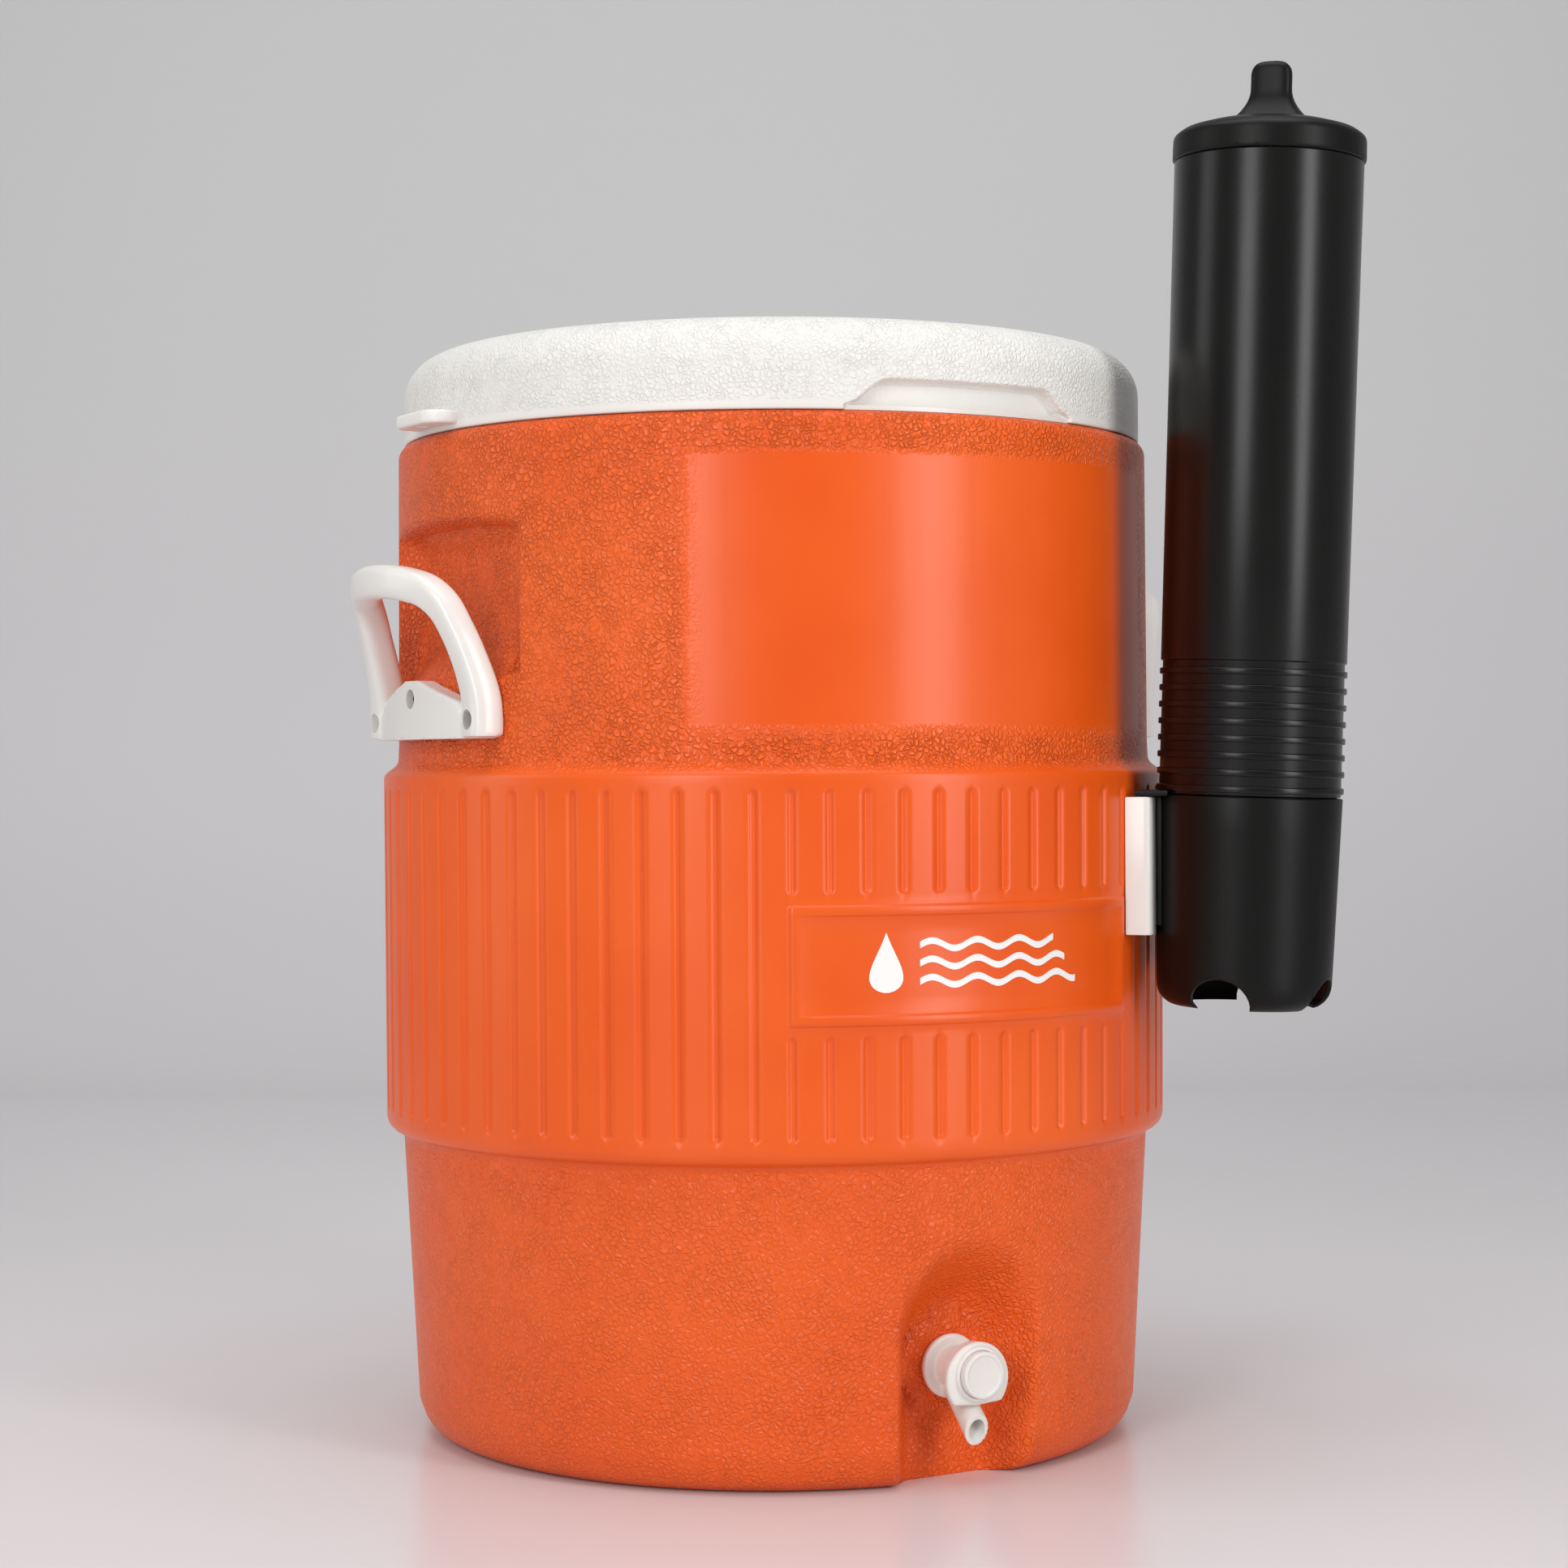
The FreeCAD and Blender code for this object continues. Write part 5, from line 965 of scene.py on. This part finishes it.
def buildBracket():
    b = bracket
    backArc = [(math.sqrt(b["back"] ** 2 - y ** 2), y)
               for y in np.linspace(b["half"] - 1.2, -b["half"] + 1.2, 25)]
    corners = [(backArc[-1][0], -b["half"], 0), (b["front"], -b["half"], b["corner"]),
               (b["front"], -b["mouth"], 0.7), (b["slotFront"], -b["mouth"], 0.7),
               (b["slotFront"], -b["slotHalf"], 0.3), (b["slotBack"], -b["slotHalf"], 0.3),
               (b["slotBack"], b["slotHalf"], 0.3), (b["slotFront"], b["slotHalf"], 0.3),
               (b["slotFront"], b["mouth"], 0.7), (b["front"], b["mouth"], 0.7),
               (b["front"], b["half"], b["corner"]), (backArc[0][0], b["half"], 0)]
    outline = roundCorners(corners, 5) + backArc
    shapes = [prism(outline, b["low"], b["high"], 0.7)]
    for side in (-1, 1):
        ends = sorted((side * b["mouth"], side * (b["slotHalf"] + 1)))
        shapes.append(block((b["slotBack"] - 1, ends[0], b["low"] + 0.1),
                            (b["slotFront"] + 1, ends[1], b["floor"]), 0.4, 0.3))
    points, faces = joinShapes(*shapes)
    piece = makePiece("dispenser_bracket", moved(points, bracketPlace), faces)
    piece.data.set_sharp_from_angle(angle=math.radians(50))
    dress(piece, "cooler", "white_polyethylene", finish["gloss"], "dispenser_mount")


def sleeveRadius(height):
    heights, radii = zip(*sleeve["radii"])
    return np.interp(height, heights, radii)


def buildSleeve():
    s = sleeve
    angles, lows = [], []
    pitch = 360 / s["gaps"]
    for number in range(s["gaps"]):
        middle = s["gapTurn"] + pitch * number
        for phase in np.linspace(-90, 90, 17):
            across = s["gap"] * math.sin(math.radians(phase))
            angles.append(middle + math.degrees(math.asin(across / 42)))
            lows.append(max(s["gap"] * math.cos(math.radians(phase)) - s["gapDrop"], 0))
        edge = math.degrees(math.asin(s["gap"] / 42))
        for angle in np.linspace(edge, pitch - edge, 17)[1:-1]:
            angles.append(middle + angle)
            lows.append(0)
    angles, lows = np.radians(np.array(angles)), np.array(lows)
    count, edge, rows = len(angles), s["edge"], []
    levels = [0, 1.3, 3, 5, 8, 12, 17, 24, 34, 48, 64, 84, s["length"] - edge]
    arc = [math.pi / 2 * step / 3 for step in range(4)]
    for a in arc:
        rows.append((edge * (1 - math.cos(a)), -edge * (1 - math.sin(a)), True))
    rows += [(level, 0, True) for level in levels[1:]]
    rows += [(s["length"] - edge * (1 - math.sin(a)), -edge * (1 - math.cos(a)), False) for a in arc[1:]]
    rows += [(s["length"], -s["wall"] + 0.2, False)]
    rows += [(level, -s["wall"], True) for level in (90, 60, 36, 20, 12, 6, 2.5, edge)]
    points = []
    for level, inset, warped in rows:
        height = lows + level * (1 - lows / s["length"]) if warped else np.full(count, level)
        radius = sleeveRadius(height) + inset
        points.append(np.stack((radius * np.cos(angles), radius * np.sin(angles), height), axis=1))
    loops = [list(range(row * count, (row + 1) * count)) for row in range(len(rows))]
    shell = moved(np.vstack(points), dispenserPlace), stitch(list(zip(loops, loops[1:] + loops[:1])), count)
    arcMiddle = dispenser["reach"] + 2.65

    def wallFront(half, most):
        return [(min(arcMiddle - math.sqrt(max(s["wallArc"] ** 2 - y ** 2, 0)), most), y)
                for y in np.linspace(-half, half, 31)]

    rail = block((207.2, -30.6, 262.4), (210.8, 30.6, 329.3), 0.8, 0.5)
    neck = prism([(207.4, 24.6), (207.4, -24.6)] + wallFront(24.6, 217), 262.4, 329.0, 0.5)
    stop = prism([(205.4, 34), (205.4, -34)] + wallFront(34, 222), 326.3, 329.3, 0.7)
    points, faces = joinShapes(rail, neck, stop)
    points, faces = joinShapes(shell, (moved(points, bracketPlace), faces))
    piece = makePiece("dispenser_sleeve_moulding", points, faces)
    piece.data.set_sharp_from_angle(angle=math.radians(45))
    dress(piece, "dispenser", "black_matte", finish["blackMatte"], "dispenser_sleeve")


def ribTree():
    # evenly spaced rounded rings on the tube's neck, joined to the tube
    tree, entry = nodeTree("ribs", ribs | {"Material": finish["blackSatin"]})
    size = entry.outputs
    section = addNode(tree, "GeometryNodeCurvePrimitiveQuadrilateral", {"Width": size["Rib Depth"],
                      "Height": size["Rib Height"]})
    soft = addNode(tree, "GeometryNodeFilletCurve", {"Curve": section.outputs[0], "Count": 4,
                   "Radius": size["Rib Edge"]}, mode="POLY")
    ring = addNode(tree, "GeometryNodeCurvePrimitiveCircle", {"Resolution": 144,
                   "Radius": size["Ring Radius"]})
    rib = addNode(tree, "GeometryNodeCurveToMesh", {"Curve": ring.outputs[0],
                  "Profile Curve": soft.outputs[0]})
    first = addNode(tree, "ShaderNodeCombineXYZ", {2: size["First"]})
    step = addNode(tree, "ShaderNodeCombineXYZ", {2: size["Pitch"]})
    line = addNode(tree, "GeometryNodeMeshLine", {"Count": size["Count"], "Start Location": first.outputs[0],
                   "Offset": step.outputs[0]})
    rows = addNode(tree, "GeometryNodeInstanceOnPoints", {"Points": line.outputs[0],
                   "Instance": rib.outputs[0]})
    both = addNode(tree, "GeometryNodeJoinGeometry", {0: size["Geometry"]})
    tree.links.new(rows.outputs[0], both.inputs[0])
    closeTree(tree, both.outputs[0], size["Material"])
    return tree


def buildTube():
    t = tube
    line = roundCorners([(t["endRadius"] - t["wall"], t["start"], 0), (t["endRadius"], t["start"], 0.5),
                         (t["endRadius"], t["step"], 0.3), (t["neckRadius"], t["step"], 0.6),
                         (t["neckRadius"], t["bodyLow"] - 0.8, 0.5), (t["lowRadius"], t["bodyLow"] - 0.8, 0.8),
                         (46.0, 300, 0), (t["topRadius"], t["top"], 0.5),
                         (t["topRadius"] - t["wall"], t["top"], 0.4),
                         (t["lowRadius"] - t["wall"] - 0.8, t["bodyLow"], 0),
                         (t["endRadius"] - t["wall"], t["step"], 0)], 4)
    piece = makePiece("dispenser_tube_moulding", *turned(line, 192, True))
    runTree(piece, ribTree(), ribs | {"Material": finish["blackSatin"]})
    piece.data.transform(dispenserMetres)
    piece.data.polygons.foreach_set("use_smooth", [True] * len(piece.data.polygons))
    piece.data.set_sharp_from_angle(angle=math.radians(50))
    dress(piece, "dispenser", "black_satin", finish["blackSatin"], "dispenser_tube")


def buildCap():
    c = cap
    outer = [(0, c["low"] + 3, 0), (c["skirt"] - 2, c["low"] + 3, 0), (c["skirt"] - 2, c["skirtLow"], 0.4),
             (c["skirt"], c["skirtLow"], 0.4), (c["skirt"], c["low"], 0.2), (c["radius"], c["low"], 0.9),
             (c["radius"] - 0.2, 428.4, 3.6), (42.6, 431.8, 3.2), (32, 434.9, 6), (0, 437, 0)]
    shell = turned(roundCorners(outer, 5), 144)
    rows = []
    levels = list(np.linspace(c["flareLow"] - 3, c["flareHigh"], 16))
    for height in levels + list(np.linspace(454, c["tabTop"], 14)):
        rise = np.clip((c["flareHigh"] - height) / (c["flareHigh"] - c["flareLow"]), 0, 1.2)
        top = c["tabTop"] - height
        wide, deep = 7.0, 4.2
        cutWide = wide - math.sqrt(max(wide ** 2 - max(wide - top, 0) ** 2, 0))
        cutDeep = deep - math.sqrt(max(deep ** 2 - max(deep - top, 0) ** 2, 0))
        halfWide = c["tabWide"] + c["flare"] * rise ** 2 - cutWide
        halfDeep = max(c["tabDeep"] + c["flare"] * 0.8 * rise ** 2 - cutDeep, 0.4)
        rows.append([(math.copysign(abs(math.cos(a)) ** 0.6, math.cos(a)) * halfWide,
                      math.copysign(abs(math.sin(a)) ** 0.6, math.sin(a)) * halfDeep, height)
                     for a in np.linspace(0, 2 * math.pi, 41)[:-1]])
    loops = [list(range(row * 40, row * 40 + 40)) for row in range(len(rows))]
    tab = (np.array([spot for row in rows for spot in row]),
           stitch(list(zip(loops, loops[1:])), 40) + [tuple(reversed(loops[0])), tuple(loops[-1])])
    piece = fuseSoft("dispenser_cap_moulding", joinShapes(shell, tab), c["voxel"], c["passes"])
    piece.data.transform(dispenserMetres)
    dress(piece, "cap", "black_matte", finish["blackMatte"], "dispenser_cap")


dispenserMetres = dispenserPlace.copy()
dispenserMetres.translation = dispenserPlace.translation * mm
buildBracket()
buildSleeve()
buildTube()
buildCap()
print("dispenser made")

# a drop and three waves printed on the label panel; angles are counted from the tap
label = {"lift": 0.22, "dropAngle": -15.0, "dropWide": 9.8, "dropLow": 236.5, "dropHigh": 264.5,
         "waveStart": -10.3, "waveEnd": 15.5, "waves": (241.5, 250.0, 258.5), "waveHeight": 1.9,
         "waveLength": 24.0, "waveThick": 3.1}


def ribbon(stations):
    # thin raised print; each station is a row of (angle in degrees, height) across the shape
    points, across = [], len(stations[0])
    for row in stations:
        rows = [(angle, height, lift) for lift in (label["lift"], -0.2) for angle, height in row]
        rows = rows[:across] + rows[across:][::-1]
        for angle, height, lift in rows:
            radius, turn = bandAt(height) + lift, math.radians(angle)
            points.append((radius * math.sin(turn), -radius * math.cos(turn), height))
    loops = [list(range(row * 2 * across, (row + 1) * 2 * across)) for row in range(len(stations))]
    faces = stitch(list(zip(loops, loops[1:])), 2 * across)
    return np.array(points), faces + [tuple(reversed(loops[0])), tuple(loops[-1])]


def buildPrint():
    scale = math.degrees(1 / shell["bandRadius"])
    shapes, drop = [], []
    tall = label["dropHigh"] - label["dropLow"]
    for share in np.linspace(0.004, 0.996, 40):
        half = label["dropWide"] * math.sin(math.pi * share ** 0.62) ** 0.9 * (1 - 0.55 * share)
        drop.append([(label["dropAngle"] + half * x * scale, label["dropLow"] + tall * share)
                     for x in (-1, -0.5, 0, 0.5, 1)])
    shapes.append(ribbon(drop))
    for number, level in enumerate(label["waves"]):
        stations = []
        start = label["waveStart"]
        for angle in np.linspace(start, label["waveEnd"] - number * 2.2, 70):
            along = (angle - start) / scale
            middle = level + label["waveHeight"] * math.sin(2 * math.pi * along / label["waveLength"])
            stations.append([(angle, middle - label["waveThick"] / 2),
                             (angle, middle + label["waveThick"] / 2)])
        shapes.append(ribbon(stations))
    piece = makePiece("label_print", *joinShapes(*shapes))
    piece.data.set_sharp_from_angle(angle=math.radians(40))
    dress(piece, "cooler", "white_gloss", finish["ink"])


buildPrint()

# the strap's route in the plane of the right handle: outward and height
strap = {"wide": 23.0, "thick": 2.3, "pegPlace": 199.0, "pegRadius": 3.2, "knobRadius": 5.2,
         "route": [(189.5, 519.0), (199, 519.3), (206.5, 519.2), (211.6, 515.5), (213.8, 508), (215.8, 498),
                   (218.6, 486), (222.6, 471), (228, 459), (232.2, 449), (233, 440), (232.8, 429), (230.2, 423.4),
                   (223.6, 422.4), (216.6, 423.2), (213.8, 428), (213.6, 437), (216.2, 442.4), (221.6, 443.4),
                   (225.6, 443.3)]}


def strapSection(width, depth):
    loop = []
    for side, centre in ((1, width / 2 - depth / 2), (-1, -width / 2 + depth / 2)):
        for step in range(7):
            angle = math.radians(side * -90 + side * 180 * step / 6)
            loop.append((centre + side * depth / 2 * math.cos(angle), depth / 2 * math.sin(angle) * side))
    return loop


def buildTether():
    route = np.array([(x, 0, z, strap["wide"], strap["thick"]) for x, z in strap["route"]], float)
    stations = throughPoints(route, 150)
    spots = stations[:, :3]
    along = np.gradient(spots, axis=0)
    points = []
    section = strapSection(strap["wide"], strap["thick"])
    for spot, way in zip(spots, along):
        way = way / np.linalg.norm(way)
        outward = np.cross(np.array((0, 1.0, 0)), way)
        for offset, lift in section:
            points.append(spot + np.array((0, 1.0, 0)) * offset + outward * lift)
    count = len(section)
    loops = [list(range(row * count, (row + 1) * count)) for row in range(len(stations))]
    band = np.array(points), (stitch(list(zip(loops, loops[1:])), count)
                              + [tuple(reversed(loops[0])), tuple(loops[-1])])
    rim = lid["rim"]
    peg = turned(roundCorners([(0, rim - 2.4, 0), (strap["knobRadius"], rim - 2.4, 0.9),
                               (strap["knobRadius"] - 1.2, rim - 0.4, 0.4), (strap["pegRadius"], rim - 0.4, 0.3),
                               (strap["pegRadius"], rim + 8.5, 0.2), (5.5, rim + 9.5, 0.2),
                               (5.5, rim + 10.9, 0.6), (0, rim + 11.2, 0)], 4), 40)
    peg = (moved(peg[0], Matrix.Translation((strap["pegPlace"], 0, 0))), peg[1])
    piece = makePiece("lid_strap", *joinShapes(band, peg))
    piece.data.set_sharp_from_angle(angle=math.radians(45))
    piece.data.materials.append(finish["rubber"])
    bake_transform(piece)
    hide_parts("lid_tether")


buildTether()
print("tether made")

# finishes of the pieces kept from the frame
keptFinish = {"orange_polyethylene": "orange", "white_polyethylene": "white", "white_gloss": "gloss",
              "liner_white": "liner", "foam": "foam", "steel": "steel", "spring_steel": "spring",
              "grey_nylon": "nylon", "silicone": "silicone", "seal_rubber": "silicone", "black_rubber": "rubber",
              "black_satin": "blackSatin", "black_matte": "blackMatte"}
slotOf = {part["node"]: part["material_slot"] for part in frame["record"]["subparts"]}
for node, piece in frame["nodes"].items():
    for place in piece.material_slots:
        place.material = finish[keptFinish[slotOf[node]]]
print("kept pieces painted")

# the camera looks from 30 degrees left of the tap
view = {"focalPixels": 3835.6, "framePixels": 1932, "distance": 1637.6, "height": 340.2, "azimuth": -30.0,
        "pitch": -0.26, "roll": -0.31, "aside": 5.58}


def buildCamera():
    data = bpy.data.cameras.new("camera")
    data.sensor_width = 36.0
    data.lens = view["focalPixels"] / view["framePixels"] * data.sensor_width
    data.clip_end = 50
    camera = bpy.data.objects.new("camera", data)
    bpy.context.scene.collection.objects.link(camera)
    angle = math.radians(view["azimuth"])
    back = Vector((math.sin(angle), -math.cos(angle), 0))
    right = Vector((math.cos(angle), math.sin(angle), 0))
    camera.location = (back * view["distance"] + right * view["aside"] + Vector((0, 0, view["height"]))) * mm
    aim = Matrix.Rotation(angle, 4, "Z") @ Matrix.Rotation(math.radians(90 + view["pitch"]), 4, "X")
    camera.rotation_euler = (aim @ Matrix.Rotation(math.radians(view["roll"]), 4, "Z")).to_euler()
    bpy.context.scene.camera = camera


def softbox(name, turn, distance, height, size, power):
    # turn is counted from the camera's side of the object, towards its right
    angle = math.radians(view["azimuth"] + turn)
    spot = Vector((math.sin(angle) * distance, -math.cos(angle) * distance, height))
    data = bpy.data.lights.new(name, "AREA")
    data.shape, data.size, data.size_y = "RECTANGLE", size[0], size[1]
    data.energy = power
    lamp = bpy.data.objects.new(name, data)
    lamp.location = spot
    lamp.rotation_euler = (Vector((0, 0, 0.32)) - spot).to_track_quat("-Z", "Y").to_euler()
    bpy.context.scene.collection.objects.link(lamp)


def buildStage():
    # studio sweep: pale floor that curves up into a grey wall behind
    line = [(-2500, 0, 0), (1100, 0, 0), (2200, 0, 900), (2200, 3200, 0)]
    run = roundCorners(line, 16)
    points, faces = [], []
    for across in (-4000, 4000):
        points += [(across, along, max(up, 0) - 0.02) for along, up in run]
    count = len(run)
    faces = [(i, i + 1, count + i + 1, count + i) for i in range(count - 1)]
    turn = Matrix.Rotation(math.radians(view["azimuth"]), 4, "Z")
    sweep = makePiece("studio_sweep", moved(points, turn), faces)
    material, tree, shader = shaderTree("painted_studio_sweep", "#DAD8D9", 0.22)
    place = addNode(tree, "ShaderNodeTexCoord").outputs["Object"]
    level = addNode(tree, "ShaderNodeSeparateXYZ", {0: place}).outputs[2]
    climb = addNode(tree, "ShaderNodeMapRange", {"Value": level, "From Min": 0.0, "From Max": 1.0})
    tone = addNode(tree, "ShaderNodeMix", {"Factor": climb.outputs[0], "A": hexColour("#E2DFE1"),
                   "B": hexColour("#DEDEDE")}, data_type="RGBA")
    sheen = addNode(tree, "ShaderNodeMapRange", {"Value": level, "From Max": 0.5, "To Min": 0.26,
                    "To Max": 0.75})
    tree.links.new(tone.outputs["Result"], shader.inputs["Base Color"])
    tree.links.new(sheen.outputs[0], shader.inputs["Roughness"])
    sweep.data.materials.append(material)
    world = bpy.data.worlds.new("studio")
    world.use_nodes = True
    world.node_tree.nodes["Background"].inputs["Color"].default_value = hexColour("#E9EAEC")
    world.node_tree.nodes["Background"].inputs["Strength"].default_value = 0.34
    bpy.context.scene.world = world
    softbox("key_left", -24, 2.4, 1.1, (0.7, 1.6), 22)
    softbox("side_left", -84, 2.2, 1.0, (0.8, 1.7), 8)
    softbox("front_right", 46, 2.3, 0.9, (0.5, 1.7), 21)
    softbox("overhead", 0, 0.3, 2.3, (1.8, 1.8), 24)
    bpy.context.scene.view_settings.view_transform = "Standard"


buildCamera()
buildStage()
